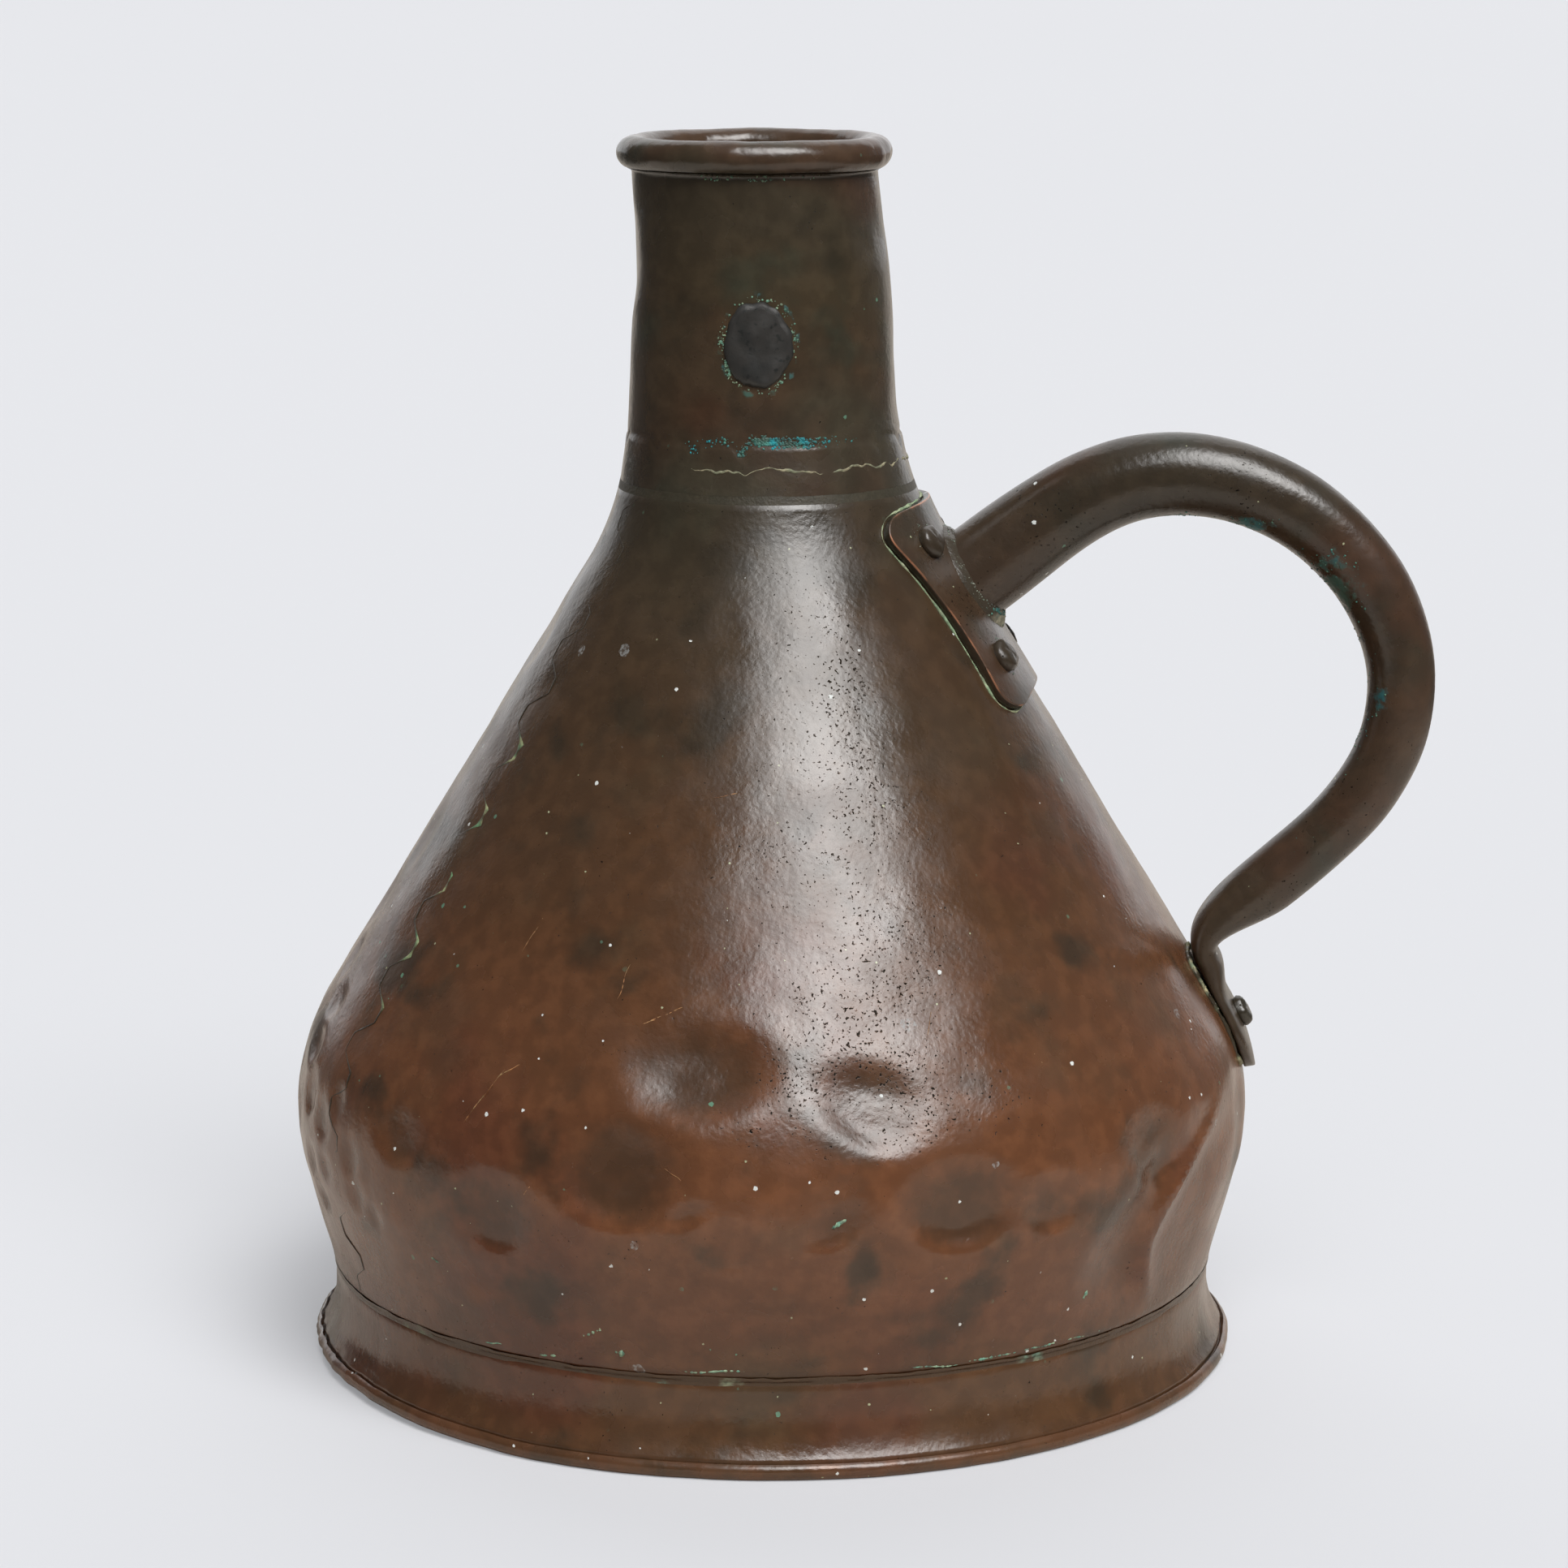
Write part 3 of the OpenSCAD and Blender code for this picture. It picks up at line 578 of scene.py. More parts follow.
def addRelief(tree, shader, height, strength, depth):
    bump = node(tree, "Bump", {"Height": height, "Strength": strength, "Distance": depth * mm})
    tree.links.new(bump.outputs["Normal"], shader.inputs["Normal"])


def heightRamp(tree, height, stops):
    low, high = stops[0][0] * mm, stops[-1][0] * mm
    share = node(tree, "MapRange", {"Value": height, "From Min": low, "From Max": high}).outputs["Result"]
    ramp = node(tree, "ValToRGB", {0: share})
    marks = ramp.color_ramp.elements
    while len(marks) < len(stops):
        marks.new(0.5)
    for mark, (z, colour) in zip(marks, stops):
        mark.position = (z - stops[0][0]) / (stops[-1][0] - stops[0][0])
        mark.color = (*colour, 1)
    return ramp.outputs["Color"]


patinaLooks = {
    "bodyCopper": {
        # height and colour of the browning; redFade is in metres
        "stops": ((0, (0.088, 0.043, 0.019)), (19, (0.098, 0.046, 0.020)), (34, (0.140, 0.056, 0.026)),
                  (60, (0.164, 0.065, 0.028)), (88, (0.136, 0.055, 0.024)), (120, (0.100, 0.045, 0.020)),
                  (160, (0.072, 0.041, 0.021)), (205, (0.050, 0.037, 0.022)), (240, (0.046, 0.036, 0.022))),
        "blotch": (0.034, 0.026, 0.016), "blotchSize": 24.0, "blotchFrom": (0.54, 0.68), "blotchMost": 0.72,
        "red": (0.105, 0.032, 0.017), "redMost": 0.55, "redFade": (0.11, 0.16),
        "green": (0.040, 0.060, 0.040), "greenMost": 0.18,
        "grime": (0.034, 0.025, 0.015), "worn": (0.24, 0.104, 0.052),
        "speckShare": 0.040, "stainShare": 0.07, "pits": (0.05, -0.03), "rough": (0.20, 0.31),
    },
    "neckCopper": {
        "stops": ((205, (0.059, 0.049, 0.032)), (226, (0.060, 0.049, 0.031)), (236, (0.076, 0.047, 0.026)),
                  (262, (0.066, 0.047, 0.026)), (284, (0.056, 0.043, 0.026)), (290, (0.076, 0.044, 0.026)),
                  (300, (0.079, 0.046, 0.027))),
        "blotch": (0.026, 0.023, 0.015), "blotchSize": 20.0, "blotchFrom": (0.52, 0.70), "blotchMost": 0.6,
        "red": (0.072, 0.028, 0.015), "redMost": 0.6, "redFade": (1.0, 2.0),
        "green": (0.028, 0.048, 0.034), "greenMost": 0.5,
        # grime also colours the painted shade in the groove under the lip
        "grime": (0.026, 0.022, 0.014), "worn": (0.12, 0.05, 0.026),
        "speckShare": 0.014, "stainShare": 0.0, "pits": (0.05, -0.03), "rough": (0.18, 0.29),
    },
    "handleCopper": {
        "stops": ((60, (0.048, 0.032, 0.019)), (120, (0.052, 0.034, 0.020)), (165, (0.068, 0.038, 0.021)),
                  (200, (0.054, 0.036, 0.022)), (220, (0.046, 0.034, 0.021))),
        "blotch": (0.028, 0.025, 0.016), "blotchSize": 22.0, "blotchFrom": (0.50, 0.68), "blotchMost": 0.65,
        "red": (0.085, 0.036, 0.019), "redMost": 0.55, "redFade": (1.0, 2.0),
        "green": (0.030, 0.055, 0.042), "greenMost": 0.35,
        # grime also colours the painted shade on the saddle plate's side faces, which are partly dirty too
        "grime": (0.026, 0.023, 0.015), "worn": (0.50, 0.22, 0.12),
        "speckShare": 0.030, "stainShare": 0.02, "pits": (0.03, -0.07), "rough": (0.22, 0.34),
    },
}
# values that the three coppers share; driftMost and proudFade are in metres
patina = {
    "ior": 1.6, "drift": (55, 1), "driftMost": 0.05, "redLeft": 0.15, "grain": (0.88, 1.14),
    "uneven": (9, 6, 4), "unevenMost": 1.2, "broken": (2.6, 16, 4), "brokenMost": (1.5, 1.7),
    "deep": (1.4, 4.4, 0, 0.62), "proud": (0.72, 1.15, 0, 0.34),
    "proudFade": (0.11, 0.07), "rubbedLeast": 0.05, "crust": (2.6, 7, 7), "crustCover": (0.38, 0.54, 0, 0.85),
    "crustTints": ((0.045, 0.125, 0.095), (0.020, 0.165, 0.185)),
    "pit": (0.72, 10, 2.5), "pitCover": (0.40, 0.35), "pitAway": 0.10, "pitColour": (0.012, 0.010, 0.008),
    # specks: spacing, size and layer
    "stain": (10, 1.5, 0.4), "stainCover": (0.06, 0.6), "stainColour": (0.40, 0.42, 0.42),
    "greenDot": (3, 0.42, 0.7), "greenDotShare": 0.16, "greenDotColour": (0.13, 0.27, 0.18),
    "crumb": (3.4, 0.20, 0.9), "crumbsPerSpeck": 3.2, "crumbColour": (0.42, 0.44, 0.27),
    "speck": (3, 0.36, 0.2), "speckColour": (0.74, 0.77, 0.75),
    "wornMetal": 0.6, "pitDull": 0.6, "dullRough": 0.35,
    "fineSkin": (1.3, 12, 3), "fineHigh": 1.1, "broadSkin": (8, 13, 2), "broadHigh": 1.5, "pitDeep": 0.25,
    "speckHigh": 0.8, "relief": (0.35, 0.25),
}


def patinaFinish(name):
    look = patinaLooks[name]
    finish, tree, shader, place = newFinish(name, patina["ior"])
    height = node(tree, "SeparateXYZ", {0: place}).outputs["Z"]
    driftMost = patina["driftMost"]
    drift = reckon(tree, "MULTIPLY_ADD", cloud(tree, place, *patina["drift"]), driftMost, -driftMost / 2)
    colour = heightRamp(tree, plus(tree, height, drift), look["stops"])
    red = patch(tree, place, "red", 0, look["redMost"])
    red = times(tree, red, band(tree, height, *look["redFade"], 1, patina["redLeft"]))
    colour = blend(tree, red, colour, look["red"])
    blotch = cloud(tree, place, look["blotchSize"], 3, 4)
    blotch = band(tree, blotch, *look["blotchFrom"], 0, look["blotchMost"])
    colour = blend(tree, blotch, colour, look["blotch"])
    colour = blend(tree, patch(tree, place, "green", 0, look["greenMost"]), colour, look["green"])
    colour = shade(tree, colour, patch(tree, place, "grain", *patina["grain"]))

    # grime lies in the hollows and bare copper on what stands proud; where the sunk mark is set on the saddle
    # plate's sides and under the neck's lip, the same dark colour is painted shade, with some dirt on the
    # plate's sides
    sunk = markOn(tree, "sunk")
    uneven = times(tree, cloud(tree, place, *patina["uneven"]), patina["unevenMost"])
    broken = times(tree, cloud(tree, place, *patina["broken"]), patina["brokenMost"][1])
    broken = plus(tree, times(tree, uneven, patina["brokenMost"][0]), broken)
    deep = band(tree, plus(tree, sunk, broken), *patina["deep"])
    colour = blend(tree, deep, colour, look["grime"])
    proud = band(tree, reckon(tree, "SUBTRACT", uneven, sunk), *patina["proud"])
    edgeWorn = times(tree, markOn(tree, "worn"), patch(tree, place, "rubbed", patina["rubbedLeast"], 1))
    wornMask = most(tree, times(tree, proud, band(tree, height, *patina["proudFade"])), edgeWorn)
    colour = blend(tree, wornMask, colour, look["worn"])
    crust = times(tree, markOn(tree, "crust"), cloud(tree, place, *patina["crust"]))
    crustMask = band(tree, crust, *patina["crustCover"])
    tint = blend(tree, patch(tree, place, "crustTint"), *patina["crustTints"])
    colour = blend(tree, crustMask, colour, tint)

    # pits and specks, with only a few pits away from the worn front
    cluster = patch(tree, place, "pitCluster", *look["pits"])
    cluster = plus(tree, cluster, band(tree, markOn(tree, "pitted"), 0, 1, patina["pitAway"], 0))
    pits = band(tree, plus(tree, cloud(tree, place, *patina["pit"]), cluster), *patina["pitCover"])
    stain = dots(tree, place, *patina["stain"], look["stainShare"])
    stain = times(tree, stain, patch(tree, place, "stain", *patina["stainCover"]))
    colour = blend(tree, stain, colour, patina["stainColour"])
    greenDots = dots(tree, place, *patina["greenDot"], patina["greenDotShare"])
    greenDots = times(tree, greenDots, patch(tree, place, "greenDots"))
    colour = blend(tree, greenDots, colour, patina["greenDotColour"])
    crumb = dots(tree, place, *patina["crumb"], look["speckShare"] * patina["crumbsPerSpeck"])
    colour = blend(tree, crumb, colour, patina["crumbColour"])
    specks = dots(tree, place, *patina["speck"], look["speckShare"])
    colour = blend(tree, specks, colour, patina["speckColour"])
    colour = blend(tree, pits, colour, patina["pitColour"])
    tree.links.new(colour, shader.inputs["Base Color"])
    bare = most(tree, times(tree, wornMask, patina["wornMetal"]), pits)
    tree.links.new(bare, shader.inputs["Metallic"])
    dull = most(tree, times(tree, pits, patina["pitDull"]), crustMask)
    dull = most(tree, dull, most(tree, specks, stain))
    rough = plus(tree, patch(tree, place, "gloss", *look["rough"]), times(tree, dull, patina["dullRough"]))
    tree.links.new(rough, shader.inputs["Roughness"])
    fine = times(tree, cloud(tree, place, *patina["fineSkin"]), patina["fineHigh"])
    broad = times(tree, cloud(tree, place, *patina["broadSkin"]), patina["broadHigh"])
    relief = reckon(tree, "SUBTRACT", plus(tree, fine, broad), times(tree, pits, patina["pitDeep"]))
    relief = plus(tree, relief, times(tree, plus(tree, specks, crustMask), patina["speckHigh"]))
    addRelief(tree, shader, relief, *patina["relief"])
    return finish


depositLooks = {
    # two colours of the clean deposit, the dark dirt over it, how much of it is dark, and patch size
    "spelter": {"first": (0.36, 0.33, 0.19), "second": (0.22, 0.27, 0.16), "dark": (0.042, 0.033, 0.020),
                "cover": (0.46, 0.60), "patch": 5.0},
    "neckBraze": {"first": (0.34, 0.30, 0.19), "second": (0.24, 0.25, 0.16), "dark": (0.036, 0.029, 0.018),
                  "cover": (0.24, 0.38), "patch": 7.0, "darkBelow": 217.0, "smooth": 0.5},
    "solder": {"first": (0.24, 0.26, 0.17), "second": (0.14, 0.22, 0.16), "dark": (0.074, 0.042, 0.022),
               "cover": (0.58, 0.70), "patch": 8.0},
    "rootBraze": {"first": (0.34, 0.31, 0.22), "second": (0.26, 0.25, 0.18), "dark": (0.052, 0.041, 0.028),
                  "cover": (0.64, 0.78), "patch": 4.0},
    "verdigris": {"first": (0.020, 0.33, 0.38), "second": (0.08, 0.26, 0.21), "dark": (0.05, 0.09, 0.07),
                  "cover": (0.30, 0.55), "patch": 5.0},
    "scratch": {"first": (0.42, 0.19, 0.07), "second": (0.34, 0.22, 0.10), "dark": (0.16, 0.065, 0.025),
                "cover": (0.36, 0.52), "patch": 3.0},
    "streak": {"first": (0.15, 0.32, 0.23), "second": (0.30, 0.40, 0.26), "dark": (0.06, 0.10, 0.07),
               "cover": (0.34, 0.50), "patch": 2.5},
    "paleVerdigris": {"first": (0.46, 0.51, 0.32), "second": (0.24, 0.34, 0.20), "dark": (0.08, 0.08, 0.05),
                      "cover": (0.30, 0.50), "patch": 6.0},
    "powder": {"first": (0.30, 0.32, 0.25), "second": (0.16, 0.24, 0.19), "dark": (0.060, 0.055, 0.042),
               "cover": (0.42, 0.58), "patch": 4.0},
    "seamBraze": {"first": (0.36, 0.38, 0.20), "second": (0.15, 0.30, 0.15), "dark": (0.040, 0.031, 0.020),
                  "cover": (0.70, 0.82), "patch": 5.0},
    "loopVerdigris": {"first": (0.030, 0.22, 0.21), "second": (0.11, 0.24, 0.16),
                      "dark": (0.035, 0.070, 0.055), "cover": (0.34, 0.54), "patch": 7.0},
}
# values that the deposits share
deposit = {
    "ior": 1.5, "toneSize": 0.6, "tone": (0.40, 0.60), "grain": (0.65, 1.25), "cleanLeft": 0.06,
    "smooth": 0.28, "rough": 0.75, "skin": (0.7, 4, 4), "relief": (0.6, 0.25),
}


def depositFinish(name):
    look = depositLooks[name]
    finish, tree, shader, place = newFinish(name, deposit["ior"])
    tone = band(tree, cloud(tree, place, look["patch"] * deposit["toneSize"], 1), *deposit["tone"])
    colour = blend(tree, tone, look["first"], look["second"])
    colour = shade(tree, colour, patch(tree, place, "depositGrain", *deposit["grain"]))
    clean = band(tree, cloud(tree, place, look["patch"], 3, 5), *look["cover"])
    clean = most(tree, clean, markOn(tree, "bare"))
    if "darkBelow" in look:
        height = node(tree, "SeparateXYZ", {0: place}).outputs["Z"]
        edge = look["darkBelow"]
        clean = times(tree, clean, band(tree, height, (edge - 1) * mm, edge * mm, deposit["cleanLeft"], 1))
    colour = blend(tree, clean, look["dark"], colour)
    tree.links.new(colour, shader.inputs["Base Color"])
    rough = band(tree, clean, 0, 1, look.get("smooth", deposit["smooth"]), deposit["rough"])
    tree.links.new(rough, shader.inputs["Roughness"])
    addRelief(tree, shader, cloud(tree, place, *deposit["skin"]), *deposit["relief"])
    return finish


def metalFinish(name):
    look = metalLooks[name]
    finish, tree, shader, place = newFinish(name, metal["ior"])
    colour = blend(tree, patch(tree, place, "metalTone"), look["first"], look["second"])
    colour = blend(tree, patch(tree, place, "metalMarks"), colour, look["dark"])
    tree.links.new(colour, shader.inputs["Base Color"])
    shader.inputs["Metallic"].default_value = look["metal"]
    tree.links.new(patch(tree, place, "metalGloss", *look["rough"]), shader.inputs["Roughness"])
    addRelief(tree, shader, cloud(tree, place, *metal["skin"]), *metal["relief"])
    return finish


metalLooks = {
    "lead": {"first": (0.046, 0.044, 0.041), "second": (0.031, 0.032, 0.031), "dark": (0.018, 0.020, 0.019),
             "metal": 0.25, "rough": (0.35, 0.55)},
    "ironWire": {"first": (0.070, 0.045, 0.030), "second": (0.045, 0.038, 0.034),
                 "dark": (0.10, 0.045, 0.020), "metal": 0.3, "rough": (0.5, 0.75)},
}
# values that both metals share
metal = {"ior": 1.6, "skin": (2.0, 4, 4), "relief": (0.5, 0.3)}

bodyFinish, neckFinish, handleFinish = (patinaFinish(name) for name in patinaLooks)
(spelterFinish, neckBrazeFinish, solderFinish, rootFinish, crustFinish, scratchFinish, streakFinish,
 paleFinish, powderFinish, seamFinish, loopCrustFinish) = (depositFinish(name) for name in depositLooks)
leadFinish, ironFinish = (metalFinish(name) for name in metalLooks)
print("finishes made")


# Body: one sheet from its lap in the foot to its collar in the neck
body = {
    "lapLow": 13.6, "lapHigh": 21.6, "lapDepth": 1.1, "setIn": 2.0,
    "collarLow": 214.0, "collarHigh": 225.5, "collarDepth": 1.4,
    "step": 1.5, "innerStep": 7.0, "turns": 400,
    "hammer": ((0.30, 15.0, 15.0), (0.09, 5.5, 5.5)), "hammered": (24, 36, 190, 206), "foldGrime": 0.3,
    # the worn and pitted front, and patches like it elsewhere
    "pitSide": (-74, 17), "pitHeights": (64, 86, 194, 210),
    "pitPatch": (45.0, 3.0), "pitPatchFrom": (0.25, 0.5), "pitPatchAbove": (50, 80), "pitPatchMost": 0.5,
}


def bodyOutline():
    def side(depth, step):
        lap = vessel["waistRadius"] - body["lapDepth"] - depth
        skin = skinRun(depth, body["lapHigh"] + body["setIn"], body["collarLow"] - body["setIn"], step)
        collar = skinRun(body["collarDepth"] + depth, body["collarLow"], body["collarHigh"], 4 * step)
        return [(lap, body["lapLow"]), (lap, body["lapHigh"])] + skin + collar
    return side(0, body["step"]) + side(vessel["wall"], body["innerStep"])[::-1]


def makeBody():
    piece = latheShell("bodyShell", bodyOutline(), body["turns"])
    points = coordinates(piece)
    z = points[:, 2]
    radius, side = polar(points)
    hammer = ripples(points, *body["hammer"])
    grow = (radius + hammer * between(z, *body["hammered"])) / radius
    sunk = dentDepth(side, z) + body["foldGrime"] * foldDepth(side, z) - hammer
    pitted = bell(side, *body["pitSide"]) * between(z, *body["pitHeights"])
    pitPatch = ease(*body["pitPatchFrom"], ripple(points, *body["pitPatch"]))
    pitPatch = pitPatch * ease(*body["pitPatchAbove"], z)
    points[:, :2] *= grow[:, None]
    reshape(piece, settle(points))
    addMark(piece, "sunk", sunk)
    addMark(piece, "pitted", np.maximum(pitted, body["pitPatchMost"] * pitPatch))
    finishPiece(piece, bodyFinish, "body_copper", "body_shell", sharp=50)


makeBody()
print("body made")


# Body seam: brazing along the dovetailed edges of the cone
bodySeam = {
    "side": 212.0, "low": 12.6, "pitch": 15.0, "depth": 7.0, "start": 24.0, "top": 212.0, "step": 0.5,
    # corners of a tooth: share of the pitch and which way across
    "corners": ((0.02, -1), (0.26, 1), (0.50, 1), (0.74, -1)),
    # section: share of the width and height above the skin
    "section": ((-0.5, -0.02), (-0.25, 0.07), (0.25, 0.07), (0.5, -0.02), (0.5, -0.9), (-0.5, -0.9)),
    "width": 0.62, "uneven": 0.7, "wobble": 0.3, "cornerSize": 1.1, "cornerWider": 1.7,
    "bright": (93.0, 98.0, 156.0, 164.0),
}


def makeBodySeam():
    line = []
    z = bodySeam["low"]
    while z < bodySeam["top"]:
        for share, way in bodySeam["corners"]:
            line.append((way * bodySeam["depth"] / 2, z + bodySeam["pitch"] * share))
        z += bodySeam["pitch"]
    across, heights = np.array(line).T
    fine = np.arange(bodySeam["start"], bodySeam["top"], bodySeam["step"])
    corner = np.abs(fine[:, None] - heights[across > 0]).min(axis=1)
    corner = bell(corner, 0, bodySeam["cornerSize"]) * between(fine, *bodySeam["bright"])
    across = np.interp(fine, heights, across)
    across = across + bodySeam["wobble"] * rippleAt(across, fine, 0, 3.0)
    width = bodySeam["width"] * (1 + bodySeam["uneven"] * rippleAt(0, fine, across, 2.0, 3.0))
    width = width * (1 + bodySeam["cornerWider"] * corner)
    rings = []
    for share, lift in bodySeam["section"]:
        side = bodySeam["side"] + np.degrees((across + share * width) / skinRadius(fine))
        rings.append(skinPoints(side, fine, lift))
    piece = loftRings("bodySeam", np.stack(rings, axis=1))
    points = coordinates(piece)
    addMark(piece, "bare", np.interp(points[:, 2], fine, corner))  # clean braze at the teeth's corners
    reshape(piece, settle(points))
    finishPiece(piece, seamFinish, "spelter", "body_seam_braze")


makeBodySeam()
print("body seam made")


# Gauge plug: lead driven through the neck, spread outside and clenched inside
plug = {
    "side": 273.5, "height": 249.0, "halfWidth": 8.0, "halfHeight": 10.0, "corners": 72,
    # crust round it: angle, half width in degrees and strength
    "crust": ((70, 40, 0.5), (165, 24, 1.0), (222, 22, 1.1), (296, 16, 1.1), (0, 25, 0.6)),
    "crustAt": (1.08, 0.07), "crustLeast": 0.15, "haloAt": (1.18, 0.20), "halo": 0.8,
    # share of the outline and height above the neck's skin
    "rings": ((0.15, 1.05), (0.35, 1.05), (0.55, 1.0), (0.72, 0.98), (0.81, 0.95), (0.835, 0.93),
              (0.86, 0.88), (0.92, 0.78), (0.97, 0.5), (1.0, 0.1), (0.98, -0.02), (0.74, -0.05),
              (0.74, -1.1), (0.95, -1.12), (1.0, -1.5), (0.94, -2.1), (0.6, -2.3)),
    "outline": ((0.09, 0.5, 4.0), (0.05, 0.22, 8.0)), "dints": 0.22, "dintSize": 3.5, "face": 0.3,
    # a step down in the outer rings: shares, depth, angle and half width in radians
    "stepRings": (0.85, 0.99), "step": 0.55, "stepAt": (1.45, 0.75),
}
# Neck: a tube with a skirt over the cone below and a lip rolled over wire above
neck = {
    "skirtLow": 214.0, "wallTop": 287.6, "step": 0.9, "innerStep": 6.0, "turns": 256, "skin": 0.3,
    "lipRadius": 28.85, "lipHeight": 292.0, "roll": 4.0, "hollow": 2.85, "mouth": 25.0,
    # first and last angle and how many points
    "joinArc": (-76, -66, 3), "hollowArc": (-64, -418, 30), "rollArc": (-55, 250, 40),
    "grooveHeight": 225.6, "grooveWidth": 0.7, "grooveDepth": 0.3, "notchDepth": 2.6, "notchWidth": 4.0,
    "notches": (-136.0, -115.0, -94.0, -30.0, -8.0, 14.0, 36.0, 58.0, 104.0, 126.0, 148.0, 170.0, 192.0),
    "grooveWobble": (0.5, 7.0), "skirtProud": 0.22, "ripples": (0.16, 9.0, 0.0),
    # underLipShade: height and half height of painted shade in the groove under the lip
    "lipFrom": (287, 290), "lipOut": ((0.30, 13.0, 5.0), (0.18, 4.5, 7.0), (0.08, 2.4, 2.0)),
    "lipUp": ((0.35, 17.0, 9.0), (0.14, 5.0, 3.0)), "lipInner": 28.6, "underLipShade": (288.0, 0.8),
    # verdigris along the joint, down the left and under the lip: places and sides
    "jointCrust": (0.9, 1.1), "jointSides": (-98, -90, -66, -40), "crustMost": 0.8,
    "leftCrust": (-168, 14), "leftHeights": (236, 250, 268, 284), "leftMost": 0.62,
    "crumbLines": ((1.0, (0.7, 0.75), (-97, -92, -76, -38)), (0.35, (0.5, 0.7), (-124, -112, -70, -30))),
    "flecks": (287.4, 0.5), "fleckSides": (-122, -104, -62, -50), "fleckMost": 0.5,
}


def turnArc(middle, radius, start, end, count):
    turns = [math.radians(a) for a in np.linspace(start, end, count)]
    return [(middle[0] + radius * math.cos(a), middle[1] + radius * math.sin(a)) for a in turns]


def neckOutline():
    middle = (neck["lipRadius"], neck["lipHeight"])
    wall = skinRun(0, neck["skirtLow"], neck["wallTop"], neck["step"])
    hollow = turnArc(middle, neck["hollow"], *neck["hollowArc"])
    roll = [(max(r, neck["mouth"]), z) for r, z in turnArc(middle, neck["roll"], *neck["rollArc"])]
    inner = skinRun(vessel["wall"], neck["skirtLow"], neck["wallTop"], neck["innerStep"])
    return wall + turnArc(middle, neck["roll"], *neck["joinArc"]) + hollow + roll + inner[::-1]


def notchLine(side):
    # the upper line of the joint dips in a V at each cramp
    drop = np.zeros_like(side)
    for at in neck["notches"]:
        gap = np.abs(turnGap(side, at))
        drop = np.maximum(drop, neck["notchDepth"] * (1 - np.clip(gap / neck["notchWidth"], 0, 1)))
    return neck["grooveHeight"] - drop


def makeNeck():
    piece = latheShell("neckTube", neckOutline(), neck["turns"])
    points = coordinates(piece)
    x, y, z = points.T
    radius, side = polar(points)
    outside = (radius > skinRadius(z) - neck["skin"]) & (z < neck["lipFrom"][0])
    wobble, wobbleSize = neck["grooveWobble"]
    gap = z - notchLine(side) - wobble * rippleAt(x, y, 0, wobbleSize)
    groove = neck["grooveDepth"] * bell(gap, 0, neck["grooveWidth"])
    skirt = ease(0.4, -0.6, gap) * ease(neck["skirtLow"] - 1, neck["skirtLow"] + 5, z)
    groove -= neck["skirtProud"] * skirt
    lip = ease(*neck["lipFrom"], z)
    uneven = ripples(points, neck["ripples"]) + lip * ripples(points, *neck["lipOut"])
    grow = (radius - groove * outside + uneven) / radius
    points[:, :2] *= grow[:, None]
    points[:, 2] += lip * ripples(points, *neck["lipUp"])

    # verdigris in the finish
    across = np.radians(turnGap(side, plug["side"])) * radius
    spread = np.hypot(across / plug["halfWidth"], (z - plug["height"]) / plug["halfHeight"])
    joint = neck["crustMost"] * bell(gap, *neck["jointCrust"]) * between(side, *neck["jointSides"])
    left = neck["leftMost"] * bell(side, *neck["leftCrust"]) * between(z, *neck["leftHeights"])
    crust = np.maximum(np.maximum(joint, plug["halo"] * bell(spread, *plug["haloAt"])), left)
    addMark(piece, "crust", np.where(outside, crust, 0))
    # painted shade: the sunk mark gives the groove under the lip the grime colour and hides the light that
    # its ledge catches
    addMark(piece, "sunk", 5 * bell(z, *neck["underLipShade"]) * (radius > neck["lipInner"]))
    reshape(piece, settle(points))
    finishPiece(piece, neckFinish, "neck_copper", "neck_tube", sharp=55)

    # crumbs along the joint, round the plug and under the lip
    bright = [share * bell(gap, *line) * between(side, *sides) for share, line, sides in neck["crumbLines"]]
    strew("neckCrust", piece, np.where(outside, np.maximum(*bright), 0), crustFinish, "neck_copper")
    around = np.degrees(np.arctan2(z - plug["height"], across))
    clumps = sum(strong * bell(turnGap(around, at), 0, wide) for at, wide, strong in plug["crust"])
    ringed = bell(spread, *plug["crustAt"]) * (plug["crustLeast"] + clumps)
    flecks = neck["fleckMost"] * bell(z, *neck["flecks"]) * between(side, *neck["fleckSides"])
    flecks = flecks * (radius > neck["lipInner"])
    pale = np.where(outside, np.maximum(ringed, flecks), flecks)
    strew("plugCrust", piece, pale, streakFinish, "neck_copper")


makeNeck()
print("neck made")


# Brazing of the neck joint: a fillet under the skirt and the wavy run-out line above it
neckJoint = {
    "low": 211.6, "edge": 214.0, "steps": 600, "round": 30.0, "lowWobble": (0.5, 6.0, 0.0),
    "waveHeight": 219.6, "wave": 0.9, "waves": ((1.3, 9.0, 2.0), (0.9, 2.6, 4.0), (0.4, 1.1, 8.0)),
    "bead": 0.28, "beadUneven": (0.9, 3.0, 6.0), "beadRange": (0.5, 1.6), "fade": (-122.0, -106.0),
}


